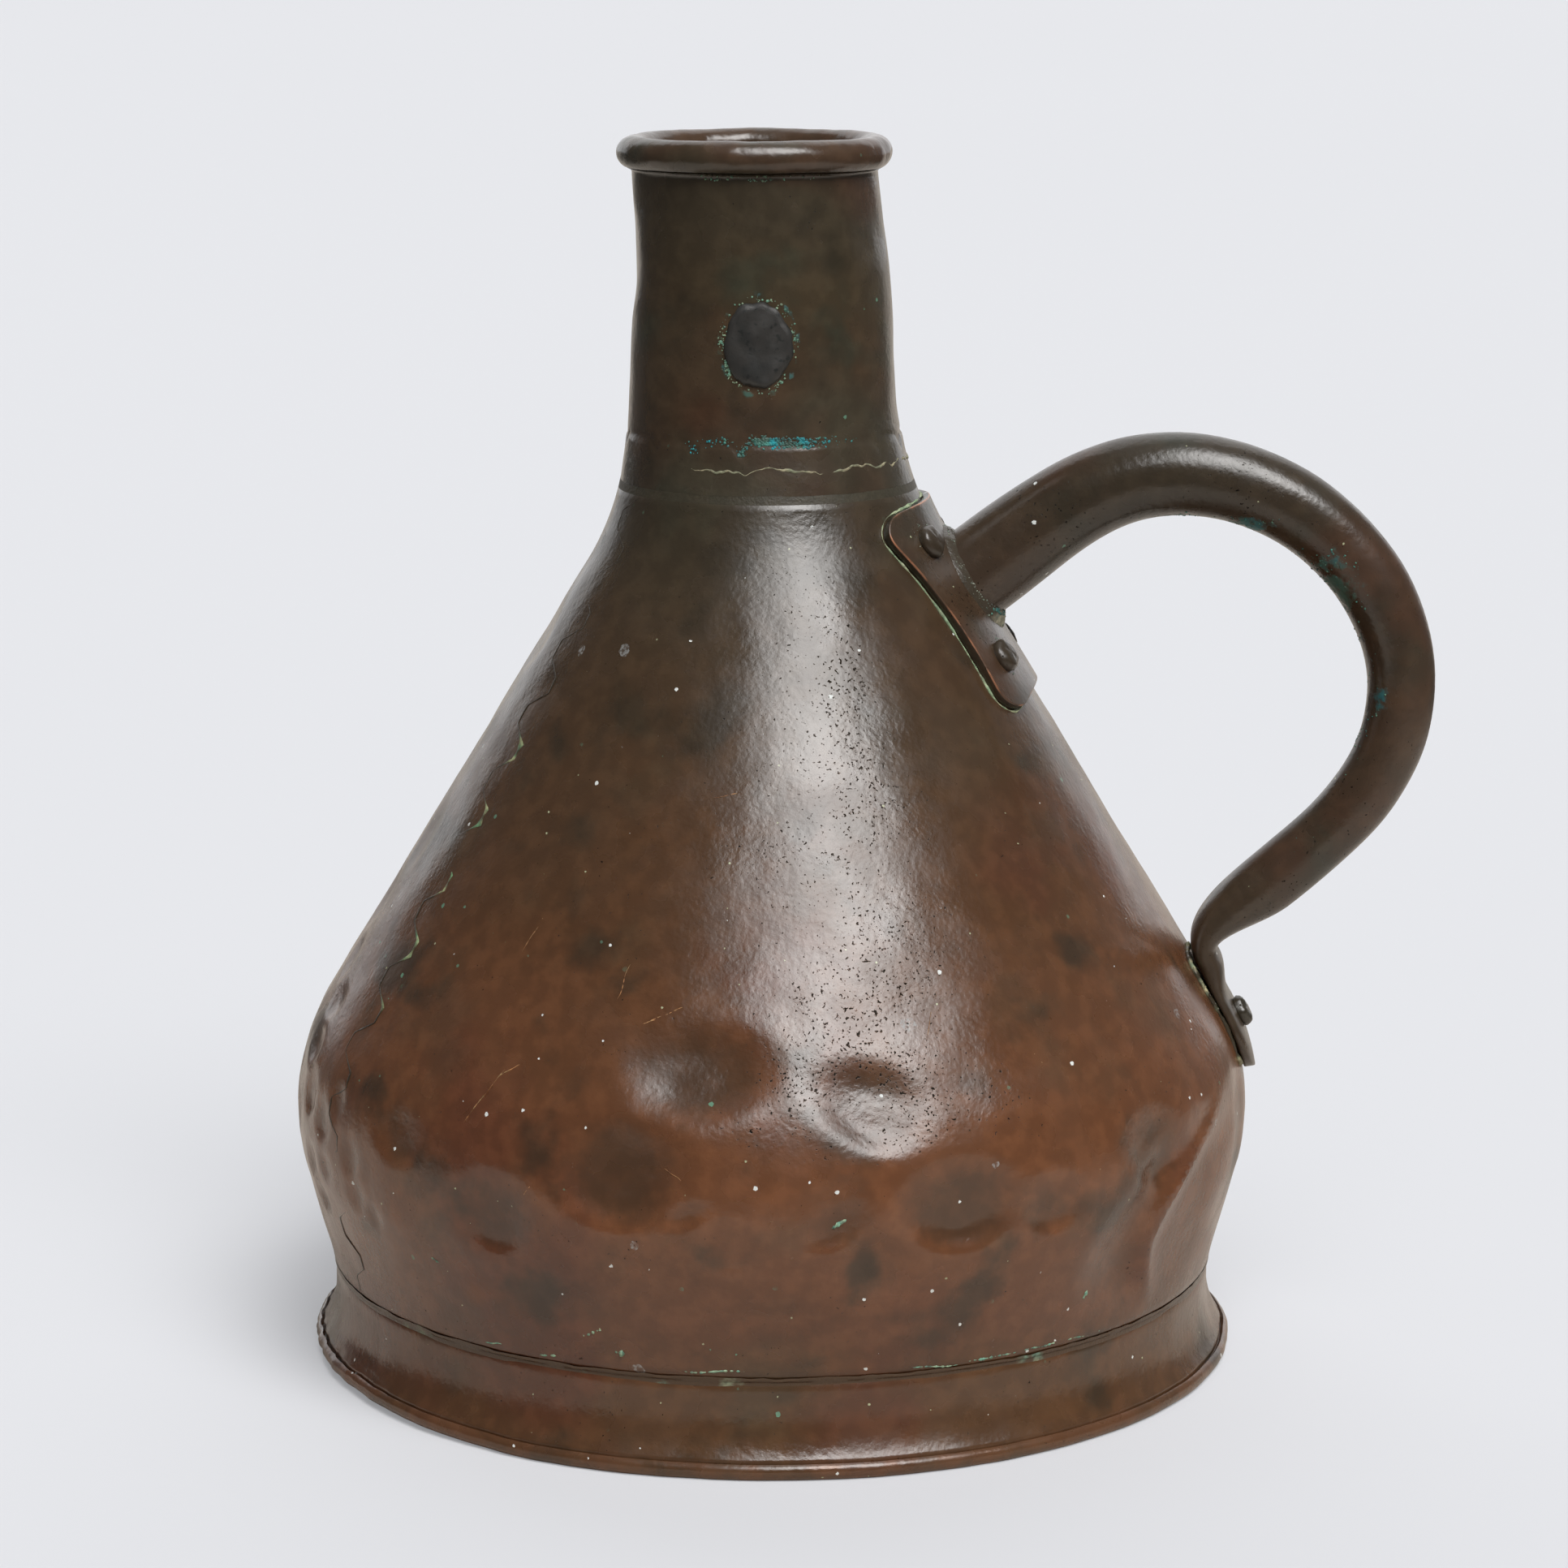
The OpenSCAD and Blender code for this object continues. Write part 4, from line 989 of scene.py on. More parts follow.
def makeNeckJoint():
    sides = np.linspace(-180, 180, neckJoint["steps"], endpoint=False)
    around = circle(sides, neckJoint["round"])
    low = neckJoint["low"] + ripples(around, neckJoint["lowWobble"])
    edge = neckJoint["edge"]
    section = ((low, -0.03), (edge - 0.9, 0.02), (edge + 0.05, 0.03), (edge, -1.2),
               (neckJoint["low"] + 1, -0.8))
    fillet = [skinPoints(sides, height, lift) for height, lift in section]
    wave = neckJoint["waveHeight"] + neckJoint["wave"] * ripples(around, *neckJoint["waves"])
    thick = neckJoint["bead"] * np.clip(1 + ripples(around, neckJoint["beadUneven"]), *neckJoint["beadRange"])
    thick = thick * np.where(sides < 0, ease(*neckJoint["fade"], sides), 1) + 0.02
    lower = loftRings("neckJoint", np.stack(fillet, axis=1), loop=True)
    piece = joinPieces([lower, loftRings("neckJointWave", beadRings(sides, wave, thick, 0.05), loop=True)])
    settlePiece(piece)
    finishPiece(piece, neckBrazeFinish, "spelter", "neck_joint_braze")


makeNeckJoint()
print("neck joint made")


# Straight seams of the neck and the foot, at the back
backSeams = {
    "side": 90.0, "width": 1.0, "uneven": 0.5, "unevenSize": 3.0,
    "neck": (214.0, 287.0, 1.0), "foot": (4.4, 21.6, 0.8),
    # section: share of the width and height above the skin
    "section": ((-0.5, 0.0), (0, 0.1), (0.5, 0.0), (0.5, -1.05), (-0.5, -1.05)),
}


def makeBackSeam(name, cadNode, heights, radius):
    uneven = backSeams["uneven"] * rippleAt(heights, heights, 0, backSeams["unevenSize"])
    width = backSeams["width"] * (1 + uneven)
    rings = []
    for share, lift in backSeams["section"]:
        sides = backSeams["side"] + np.degrees(share * width / radius)
        rings.append(circle(sides, radius + lift, heights))
    piece = loftRings(name, np.stack(rings, axis=1))
    settlePiece(piece)
    finishPiece(piece, spelterFinish, "spelter", cadNode)


neckHeights = np.arange(*backSeams["neck"])
makeBackSeam("neckSeam", "neck_seam_braze", neckHeights, skinRadius(neckHeights))
print("neck seam made")


# Wires: the lip and the foot are rolled over them
wires = {
    # radius of the ring, height, radius of the wire, turns and sides
    "lip": (28.85, 292.0, 2.8, 160, 20), "foot": (111.4, 2.0, 0.95, 256, 10),
}


def makeWire(name, cadNode):
    ring, height, thick, turns, sides = wires[name]
    deselect()
    bpy.ops.mesh.primitive_torus_add(major_radius=ring * mm, minor_radius=thick * mm, major_segments=turns,
                                     minor_segments=sides, location=(0, 0, height * mm))
    piece = bpy.context.object
    piece.name = name + "Wire"
    bpy.ops.object.transform_apply(location=True)
    settlePiece(piece)
    finishPiece(piece, ironFinish, "iron_wire", cadNode)


makeWire("lip", "rim_wire")
makeWire("foot", "foot_wire")
print("wires made")


def plugPoints(x, y, lift):
    z = plug["height"] + y
    side = plug["side"] + np.degrees(x / skinRadius(z))
    return skinPoints(side, z, lift)


def makePlug():
    turn = np.linspace(0, math.tau, plug["corners"], endpoint=False)
    rough = 1 + ripples(np.stack((np.cos(turn), np.sin(turn), 0 * turn), axis=-1), *plug["outline"])
    low, high = plug["stepRings"]
    rings = []
    for share, lift in plug["rings"]:
        x = share * rough * plug["halfWidth"] * np.cos(turn)
        y = share * rough * plug["halfHeight"] * np.sin(turn)
        raised = lift
        if lift > plug["face"]:
            raised = raised + plug["dints"] * rippleAt(x, y, lift, plug["dintSize"])
        if lift > plug["face"] and low < share < high:
            raised = raised - plug["step"] * bell(turn, *plug["stepAt"])
        rings.append(plugPoints(x, y, raised))
    piece = loftRings("gaugePlug", rings)
    settlePiece(piece)
    finishPiece(piece, leadFinish, "plug_lead", "gauge_plug", sharp=50)


makePlug()
print("plug made")


# Foot: a flared band over the body's lap, its edge rolled over wire
foot = {
    "top": 21.6, "wall": 1.1, "beadRadius": 111.4, "beadHeight": 2.0, "bead": 2.1, "hollow": 1.0,
    "flareStart": 16.0, "flareBend": 21.05, "flareSteps": 22, "outerShare": 0.97, "innerShare": 0.84,
    "turns": 400, "hollowArc": (84, 430, 16), "rollArc": (62, -236, 30),
    "ripples": ((0.5, 22.0, 0.0), (0.16, 6.0, 3.0)), "along": 0.3, "calm": 0.7, "calmAbove": (10, 20),
    # the edge is knocked about at the left
    "knockSide": -166.0, "knockReach": (0.80, 0.97), "knockBelow": (4, 7), "knocks": (0.45, 2.6, 8.0),
    "knockIn": 0.3, "wornBelow": (3.6, 4.6), "worn": 0.30,
}


def footOutline():
    middle = (foot["beadRadius"], foot["beadHeight"])
    bandRadius = vessel["waistRadius"] - foot["wall"] / 2
    end = (middle[0], middle[1] + (foot["bead"] + foot["hollow"]) / 2)
    run = (end[0] - bandRadius, foot["flareStart"] - end[1])
    bend = (run[0] ** 2 + run[1] ** 2) / (2 * run[0])
    sweep = math.degrees(math.asin(run[1] / bend))
    centre = (bandRadius + bend, foot["flareStart"])

    def flareRun(offset, share):
        turns = np.radians(np.linspace(0, sweep * share, foot["flareSteps"]))
        reach = bend + offset
        return [(centre[0] - reach * math.cos(a), centre[1] - reach * math.sin(a)) for a in turns]

    rim = vessel["waistRadius"]
    edge = [(rim - 0.35, foot["top"]), (rim, foot["top"] - 0.4), (rim, foot["top"] - 2.8)]
    outer = edge + flareRun(-foot["wall"] / 2, foot["outerShare"])
    inner = flareRun(foot["wall"] / 2, foot["innerShare"])[::-1] + [(rim - foot["wall"], foot["top"])]
    hollow = turnArc(middle, foot["hollow"], *foot["hollowArc"])
    roll = [(r, max(z, 0)) for r, z in turnArc(middle, foot["bead"], *foot["rollArc"])]
    return outer + hollow + roll + inner


def makeFoot():
    piece = latheShell("footBand", footOutline(), foot["turns"])
    points = coordinates(piece)
    z = points[:, 2]
    radius, side = polar(points)
    ring = points * np.array((1, 1, foot["along"]))
    uneven = ripples(ring, *foot["ripples"]) * (1 - foot["calm"] * ease(*foot["calmAbove"], z))
    knocked = ease(*foot["knockReach"], np.cos(np.radians(side - foot["knockSide"])))
    knocked = knocked * (1 - ease(*foot["knockBelow"], z))
    uneven += knocked * (ripples(ring, foot["knocks"]) - foot["knockIn"])
    points[:, :2] *= ((radius + uneven) / radius)[:, None]
    addMark(piece, "worn", (1 - ease(*foot["wornBelow"], z)) * foot["worn"])
    reshape(piece, settle(points))
    finishPiece(piece, bodyFinish, "body_copper", "foot_band", sharp=50)


makeFoot()
footHeights = np.arange(*backSeams["foot"])
belowBend = np.minimum(footHeights - foot["flareStart"], 0)
footReach = vessel["waistRadius"] + (foot["flareBend"] - np.sqrt(foot["flareBend"] ** 2 - belowBend ** 2))
makeBackSeam("footSeam", "foot_seam_braze", footHeights, footReach)
print("foot made")


# Solder in the groove between foot and body
footSolder = {
    "low": 20.7, "high": 23.0, "steps": 520, "uneven": ((1.0, 9.0, 0.0), (0.6, 3.0, 5.0)), "wavy": 0.45,
}


def makeFootSolder():
    sides = np.linspace(-180, 180, footSolder["steps"], endpoint=False)
    rim = vessel["waistRadius"]
    uneven = ripples(circle(sides, rim), *footSolder["uneven"])
    top = footSolder["high"] + footSolder["wavy"] * uneven
    section = ((rim - 1.1, 21.5), (rim - 0.02, footSolder["low"]), (rim + 0.05, 21.3 + 0.1 * uneven),
               (rim + 0.02, 21.8), (skinRadius(top - 0.6) + 0.06 + 0.05 * uneven, top - 0.6),
               (skinRadius(top) - 0.03, top))
    rings = [circle(sides, radius, height) for radius, height in section]
    piece = loftRings("footSolder", np.stack(rings, axis=1), loop=True)
    settlePiece(piece)
    finishPiece(piece, solderFinish, "solder", "foot_solder")


makeFootSolder()
print("foot solder made")


# Bottom: a crowned disc with its flange turned down, soldered in
bottom = {
    "radius": 105.8, "wall": 1.2, "rim": 26.0, "crown": 13.0, "bend": 4.0, "flangeLow": 13.6, "turns": 180,
    "hammer": (0.35, 11.0, 0.0), "hammered": (88, 100), "fillet": 1.2, "solderLow": 21.6, "wallLow": 23.6,
}


def panRun(depth):
    bendRadius = bottom["radius"] - bottom["bend"]
    reach = (bendRadius ** 2 + bottom["crown"] ** 2) / (2 * bottom["crown"])
    crown = [(r, bottom["rim"] + bottom["crown"] - reach + math.sqrt(reach ** 2 - r ** 2) - depth)
             for r in np.linspace(bendRadius, 0.4, 40)]
    bendArc = turnArc((bendRadius, bottom["rim"] - bottom["bend"]), bottom["bend"] - depth, 0, 90, 8)
    return [(bottom["radius"] - depth, bottom["flangeLow"])] + bendArc[:-1] + crown


def makeBottom():
    piece = latheShell("bottomPan", panRun(0) + panRun(bottom["wall"])[::-1], bottom["turns"])
    points = coordinates(piece)
    inside = 1 - ease(*bottom["hammered"], polar(points)[0])
    points[:, 2] += inside * ripples(points * np.array((1, 1, 0)), bottom["hammer"])
    reshape(piece, points)
    finishPiece(piece, bodyFinish, "body_copper", "bottom_pan")


def makeBottomSolder():
    bendRadius = bottom["radius"] - bottom["bend"]
    fillet = bendRadius - bottom["fillet"]
    wall = skinRun(vessel["wall"], bottom["wallLow"], bottom["rim"] + bottom["fillet"], 1.2)
    bendArc = turnArc((bendRadius, bottom["rim"] - bottom["bend"]), bottom["bend"], 90, 0, 8)
    outline = [(bottom["radius"], bottom["solderLow"])] + wall + [(fillet, bottom["rim"] + 0.3)] + bendArc
    piece = latheShell("bottomSolder", outline, bottom["turns"])
    finishPiece(piece, solderFinish, "solder", "bottom_solder")


makeBottom()
makeBottomSolder()
print("bottom made")


# Handle: a tube along four curves, pressed flat to a tang where it meets the body
handle = {
    "rootHeight": 189.0, "rootAngle": 35.0, "rootWidth": 23.0,
    "apex": (98.0, 216.0), "apexWidth": 19.8,
    "reach": (152.0, 165.0), "reachWidth": 16.2,
    "heel": (122.0, 117.0), "heelAngle": 40.0, "heelWidth": 15.2,
    "tangTop": 97.5, "tangTip": 70.5, "tangNeck": 6.0, "tangThick": 2.8, "tangWidth": 22.0, "tangSeat": 0.4,
    "tangStart": 0.86, "tipFrom": 0.6, "tipRound": 1.02,
    "pull": 0.37, "pressed": 0.36, "steps": 30, "tangSteps": 34, "sides": 44,
    "ripples": (0.22, 16.0, 0.0), "loopMiddle": (104.0, 166.0),
    # the tang takes up the round of the body over these rings, counted from its top
    "hug": (-12, 6), "hugLeast": 60, "seatRings": 8, "seatStep": 0.25, "seatUnder": 0.4,
    # verdigris inside the loop: where it lies, then place, half width, half height and strength
    "crust": 0.7, "crustFacing": (0.2, 0.95), "crustFrom": (80, 118), "crustAbove": (118, 150),
    "crumbsFrom": 0.4, "patchFacing": (-0.6, 0.2),
    "verdigris": ((115, 205, 9, 3, 0.95), (136, 191, 11, 12.5, 0.92), (147, 163, 2.6, 6.5, 0.88),
                  (97, 206, 12, 2, 0.85), (127, 127, 7, 6, 0.6), (113, 108, 2.5, 3.5, 0.75)),
}
saddle = {
    "thick": 2.2, "width": 57.6, "up": 26.5, "down": 31.0,
    "corner": 11.5, "waist": 3.6, "dip": 3.6, "hollow": 1.8, "round": 0.3,
    "edges": 240, "rim": 0.42, "rings": (0.97, 0.95, 0.93, 0.91, 0.89, 0.86, 0.82, 0.76, 0.66, 0.4),
    # grimeAndShadeEdge and grime: painted shade, with some dark dirt, on the plate's side faces near its edge
    "face": (1.95, 2.08), "wornEdge": (0.2, 0.46), "grimeAndShadeEdge": (0.3, 0.9), "grime": 4,
    "bent": (0.35, 14.0, 0.0), "bentAbove": (0.8, 1.6),
}


def handleCurve(start, out, end, into, t):
    start, out, end, into = (np.array(v, float) for v in (start, out, end, into))
    pull = handle["pull"] * np.linalg.norm(end - start)
    t = t[:, None]
    return ((1 - t) ** 3 * start + 3 * t * (1 - t) ** 2 * (start + pull * out)
            + 3 * t * t * (1 - t) * (end - pull * into) + t ** 3 * end)


def direction(angle):
    return np.array((math.cos(math.radians(angle)), math.sin(math.radians(angle))))


rootDirection = direction(handle["rootAngle"])
rootPoint = np.array((float(skinRadius(handle["rootHeight"], vessel["wall"])), handle["rootHeight"]))


def tangThickness(t):
    return handle["tangNeck"] + (handle["tangThick"] - handle["tangNeck"]) * ease(0, handle["pressed"], t)


def tangPath(t):
    z = handle["tangTop"] + (handle["tangTip"] - handle["tangTop"]) * t
    return np.stack((skinRadius(z, -handle["tangSeat"] - tangThickness(t) / 2), z), axis=-1)


def handleStations():
    t = np.linspace(0, 1, handle["steps"], endpoint=False)
    tt = np.linspace(0, 1, handle["tangSteps"])
    out, up = skinNormal(handle["tangTop"])
    tangDirection = np.array((up, -out))
    heelDirection = -direction(handle["heelAngle"])
    narrow = handle["tangWidth"] * handle["tangStart"]
    tangStart = tangPath(np.zeros(1))[0]

    def mix(a, b, share):
        return a + (b - a) * share

    # each run: middle line, thickness, width and how square the section is
    runs = []
    bends = ((rootPoint, rootDirection, "rootWidth"), (handle["apex"], (1, 0), "apexWidth"),
             (handle["reach"], (0, -1), "reachWidth"), (handle["heel"], heelDirection, "heelWidth"))
    for (start, leave, first), (end, arrive, last) in zip(bends, bends[1:]):
        width = mix(handle[first], handle[last], t)
        runs.append((handleCurve(start, leave, end, arrive, t), width, width, 2 + 0 * t))
    flat = ease(0, 1, t)
    thick, width = (mix(handle["heelWidth"], end, flat) for end in (handle["tangNeck"], narrow))
    line = handleCurve(handle["heel"], heelDirection, tangStart, tangDirection, t)
    runs.append((line, thick, width, 2 + t))
    beyond = (tt - handle["tipFrom"]) / (1 - handle["tipFrom"])
    tip = np.where(beyond < 0, 1, np.sqrt(np.maximum(handle["tipRound"] - beyond ** 2, 0)))
    width = mix(narrow, handle["tangWidth"], ease(0, handle["pressed"], tt)) * tip
    runs.append((tangPath(tt), tangThickness(tt), width, 3 + np.clip(tt / handle["pressed"], 0, 1)))
    return [np.concatenate(column) for column in zip(*runs)]


def coneLift(points):
    out = skinNormal(points[:, 2])[0]
    return (np.hypot(points[:, 0], points[:, 1]) - skinRadius(points[:, 2])) * out


def makeHandle():
    path, thick, wide, power = handleStations()
    ahead = np.gradient(path, axis=0)
    ahead[0] = rootDirection
    ahead /= np.linalg.norm(ahead, axis=1, keepdims=True)
    corner = np.linspace(0, math.tau, handle["sides"], endpoint=False)
    rings = []
    for middle, along, t, w, p in zip(path, ahead, thick, wide, power):
        u = t / 2 * boxed(np.cos(corner), 2 / p)
        v = w / 2 * boxed(np.sin(corner), 2 / p)
        rings.append(np.stack((middle[0] - u * along[1], v, middle[1] + u * along[0]), axis=-1))
    rings = np.array(rings)
    hug = ease(*handle["hug"], np.arange(len(rings)) - 4 * handle["steps"])[:, None]
    rings[:, :, 0] -= hug * rings[:, :, 1] ** 2 / (2 * np.maximum(rings[:, :, 0], handle["hugLeast"]))
    along = np.array((rootDirection[0], 0, rootDirection[1]))
    for index in range(handle["seatRings"]):  # the root ends on the saddle plate
        for _ in range(6):
            seat = saddle["thick"] - handle["seatUnder"] + index * handle["seatStep"]
            rings[index] += np.maximum(seat - coneLift(rings[index]), 0)[:, None] * along
    piece = loftRings("handleTube", rings)
    points = coordinates(piece)
    middle = np.array([path[np.argmin((path[:, 0] - p[0]) ** 2 + (path[:, 1] - p[2]) ** 2)] for p in points])
    outward = points - np.stack((middle[:, 0], 0 * middle[:, 0], middle[:, 1]), axis=-1)
    size = np.maximum(np.linalg.norm(outward, axis=1, keepdims=True), 0.5)
    uneven = ripples(points, handle["ripples"])[:, None] * ease(3, 7, size)
    inward = np.array(handle["loopMiddle"]) - points[:, (0, 2)]
    inward /= np.linalg.norm(inward, axis=1, keepdims=True)
    facing = np.sum(inward * (outward / size)[:, (0, 2)], axis=1)
    x, _, z = points.T
    crust = handle["crust"] * ease(*handle["crustFacing"], facing)
    crust = crust * ease(*handle["crustFrom"], x) * ease(*handle["crustAbove"], z)
    for atX, atZ, wide, high, strong in handle["verdigris"]:
        spread = ((x - atX) / wide) ** 2 + ((z - atZ) / high) ** 2
        crust = np.maximum(crust, strong * np.exp(-spread ** 2) * ease(*handle["patchFacing"], facing))
    addMark(piece, "crust", crust)
    reshape(piece, settle(points + outward / size * uneven))
    finishPiece(piece, handleFinish, "handle_copper", "handle_tube", sharp=60)
    crumbly = np.maximum(crust - handle["crumbsFrom"], 0)
    strew("handleCrust", piece, crumbly, loopCrustFinish, "handle_copper")


makeHandle()
print("handle made")


# Saddle plate: four lobes shaped to the cone under the handle's root
def insidePlate(x, y):
    length = saddle["up"] + saddle["down"]
    half = saddle["width"] / 2

    def bendOf(chord, depth):
        return (chord ** 2 + depth ** 2) / (2 * depth)

    sideBend = bendOf(length / 2, saddle["waist"])
    dipBend = bendOf(half, saddle["dip"])
    hollowBend = bendOf(half, saddle["hollow"])
    qx = abs(x - (saddle["down"] - saddle["up"]) / 2) - length / 2 + saddle["corner"]
    qy = abs(y) - half + saddle["corner"]
    if math.hypot(max(qx, 0), max(qy, 0)) + min(max(qx, qy), 0) > saddle["corner"]:
        return False
    if math.hypot(x, abs(y) - half - sideBend + saddle["waist"]) < sideBend:
        return False
    if math.hypot(x - saddle["down"] - hollowBend + saddle["hollow"], y) < hollowBend:
        return False
    return math.hypot(x + saddle["up"] + dipBend - saddle["dip"], y) > dipBend


def plateEdge():
    edge = []
    for turn in np.linspace(0, math.tau, saddle["edges"], endpoint=False):
        near, far = 0.0, 60.0
        for _ in range(30):
            reach = (near + far) / 2
            if insidePlate(reach * math.cos(turn), reach * math.sin(turn)):
                near = reach
            else:
                far = reach
        edge.append((near * math.cos(turn), near * math.sin(turn)))
    edge = np.array(edge)
    for _ in range(6):  # the lobes are filed round
        edge = (np.roll(edge, 1, axis=0) + 2 * edge + np.roll(edge, -1, axis=0)) / 4
    return edge


def onPlate(x, y, lift):
    # x down the slope from the handle's root, y across, laid square on to the cone
    out, up = (float(v) for v in skinNormal(handle["rootHeight"]))
    root = np.array((float(skinRadius(handle["rootHeight"])), 0, handle["rootHeight"]))
    down, normal = np.array((up, 0, -out)), np.array((out, 0, up))
    x, y = np.asarray(x, float), np.asarray(y, float)
    points = root + x[:, None] * down + y[:, None] * np.array((0, 1, 0))
    for _ in range(12):
        points = points + (lift - coneLift(points))[:, None] * normal
    return points


def makeSaddle():
    edge = plateEdge()
    deselect()
    bpy.ops.mesh.primitive_circle_add(vertices=saddle["edges"], radius=20 * mm, fill_type="NGON")
    piece = bpy.context.object
    piece.name = "handleSaddle"
    reshape(piece, np.column_stack((edge, 0 * edge[:, 0])))
    bpy.ops.object.mode_set(mode="EDIT")
    bpy.ops.mesh.select_all(action="SELECT")
    bpy.ops.mesh.inset(thickness=saddle["rim"] * mm, use_boundary=True)
    for ratio in saddle["rings"]:
        bpy.ops.mesh.extrude_region_move(TRANSFORM_OT_translate={"value": (0, 0, 0)})
        bpy.ops.transform.resize(value=(ratio, ratio, 1), center_override=(0, 0, 0))
    bpy.ops.object.mode_set(mode="OBJECT")
    flat = coordinates(piece)
    reshape(piece, onPlate(flat[:, 0], flat[:, 1], 0.02))
    pick(piece)
    bpy.ops.object.mode_set(mode="EDIT")
    bpy.ops.mesh.select_all(action="SELECT")
    bpy.ops.mesh.normals_make_consistent(inside=False)
    bpy.ops.object.mode_set(mode="OBJECT")
    outward = Vector((math.cos(coneLean), 0, math.sin(coneLean)))
    if sum(face.normal.dot(outward) * face.area for face in piece.data.polygons) < 0:
        bpy.ops.object.mode_set(mode="EDIT")
        bpy.ops.mesh.select_all(action="SELECT")
        bpy.ops.mesh.flip_normals()
        bpy.ops.object.mode_set(mode="OBJECT")
    solid = piece.modifiers.new("solid", "SOLIDIFY")
    solid.thickness = saddle["thick"] * mm
    solid.offset = 1
    soft = piece.modifiers.new("soft", "BEVEL")
    soft.width = saddle["round"] * mm
    soft.segments = 3
    soft.limit_method = "ANGLE"
    soft.angle_limit = math.radians(50)
    for modifier in ("solid", "soft"):
        bpy.ops.object.modifier_apply(modifier=modifier)
    points = coordinates(piece)
    stands = coneLift(points)
    base = points - stands[:, None] * skinNormals(polar(points)[1], points[:, 2])
    root = np.array((float(skinRadius(handle["rootHeight"])), 0, handle["rootHeight"]))
    flatX = (base - root) @ np.array((math.sin(coneLean), 0, -math.cos(coneLean)))
    inward = np.array([np.min(np.hypot(edge[:, 0] - x, edge[:, 1] - y)) for x, y in zip(flatX, base[:, 1])])
    onFace = ease(*saddle["face"], stands)
    addMark(piece, "worn", (1 - ease(*saddle["wornEdge"], inward)) * onFace)
    # painted shade with some dirt: the side faces near the edge get the grime colour, as if sunk
    addMark(piece, "sunk", saddle["grime"] * (1 - onFace) * (1 - ease(*saddle["grimeAndShadeEdge"], inward)))
    bent = ripples(points, saddle["bent"]) * ease(*saddle["bentAbove"], stands)
    reshape(piece, settle(points + bent[:, None] * np.array(outward)))
    finishPiece(piece, handleFinish, "handle_copper", "handle_saddle", sharp=60)


makeSaddle()
print("saddle made")


# Brazing around the handle's root
rootFillet = {
    "steps": 120, "wide": 2.2, "high": 1.5, "heap": 0.35,
    "lumps": ((0.16, 3.2, 0.0), (0.096, 1.4, 3.0)), "ring": 10,
    # between the foot and the top: share of the width and of the height
    "section": ((0.72, 0.35), (0.34, 0.75)), "top": 1.15,
    # places below the tube's middle: clean braze, fewer crumbs, and the lump of verdigris
    "bare": (-9.6, -11.6), "fewer": (-9.0, -11.0), "lumpAt": (-9.6, 1.6),
}


def makeRootFillet():
    turn = np.linspace(0, math.tau, rootFillet["steps"], endpoint=False)
    along = np.array((rootDirection[0], 0, rootDirection[1]))
    upward = np.array((-rootDirection[1], 0, rootDirection[0]))
    ring = np.cos(turn)[:, None] * upward + np.sin(turn)[:, None] * np.array((0, 1, 0))
    base = np.array((rootPoint[0], 0, rootPoint[1]))
    lumps = ripples(ring * rootFillet["ring"], *rootFillet["lumps"])
    under = ease(-0.3, -1.0, np.cos(turn))  # more of it lies under the tube
    heap = 1 + lumps * (1 + 2 * under) + rootFillet["heap"] * under

    def seat(reach, lift):
        points = base + np.broadcast_to(reach, turn.shape)[:, None] * ring
        for _ in range(12):
            points = points + (lift - coneLift(points))[:, None] * along
        return points

    tube, thick = handle["rootWidth"] / 2, saddle["thick"]
    wide, high = rootFillet["wide"] * heap, rootFillet["high"] * heap
    rings = [seat(tube - 0.5, thick - 0.4), seat(tube + wide, thick - 0.2)]
    rings += [seat(tube + out * wide, thick + up * high) for out, up in rootFillet["section"]]
    rings.append(seat(tube - 0.25, thick + rootFillet["top"] * high))
    piece = loftRings("saddleFillet", np.stack(rings, axis=1), loop=True)
    points = coordinates(piece)
    below = (points - base) @ upward
    addMark(piece, "bare", ease(*rootFillet["bare"], below))
    outside = coneLift(points) > thick + 0.1
    reshape(piece, settle(points))
    finishPiece(piece, rootFinish, "solder", "saddle_fillet", sharp=70)
    powder = outside * (1 - 0.5 * ease(*rootFillet["fewer"], below))
    strew("rootCrust", piece, powder, powderFinish, "handle_copper")
    lump = outside * bell(below, *rootFillet["lumpAt"]) * (points[:, 1] < 0)
    strew("rootLump", piece, lump, loopCrustFinish, "handle_copper")


makeRootFillet()
print("root fillet made")


# Rivets: hammered heads outside, flat heads inside
rivets = {
    "shank": 2.0, "head": 3.6, "headHigh": 2.4, "inner": 4.5, "innerThick": 1.2, "turns": 26,
    "upper": (23.6, 200.1), "lower": (16.8, 172.6), "tang": (0.0, 82.4), "rough": 0.42, "roughSize": 2.4,
    # heads: share of the width and of the height, the far ones hammered flat
    "nearHead": (1.08, 1.15), "farHead": (0.9, 0.45), "tangHead": (1.0, 1.1),
    "dome": ((1.04, 0.3), (0.98, 0.62), (0.82, 0.84), (0.55, 0.97)), "grime": 1.9,
}


def rivetOutline(grip, swell, rise):
    head, high = rivets["head"] * swell, rivets["headHigh"] * rise
    inner, thick, shank = rivets["inner"], rivets["innerThick"], rivets["shank"]
    under = -vessel["wall"]
    below = [(0.05, under - thick), (inner * 0.8, under - thick), (inner, under - thick * 0.5),
             (inner, under - 0.05)]
    dome = [(head * wide, grip + high * up) for wide, up in rivets["dome"]]
    return below + [(shank, under), (shank, grip), (head, grip + 0.02)] + dome + [(0.05, grip + high)]


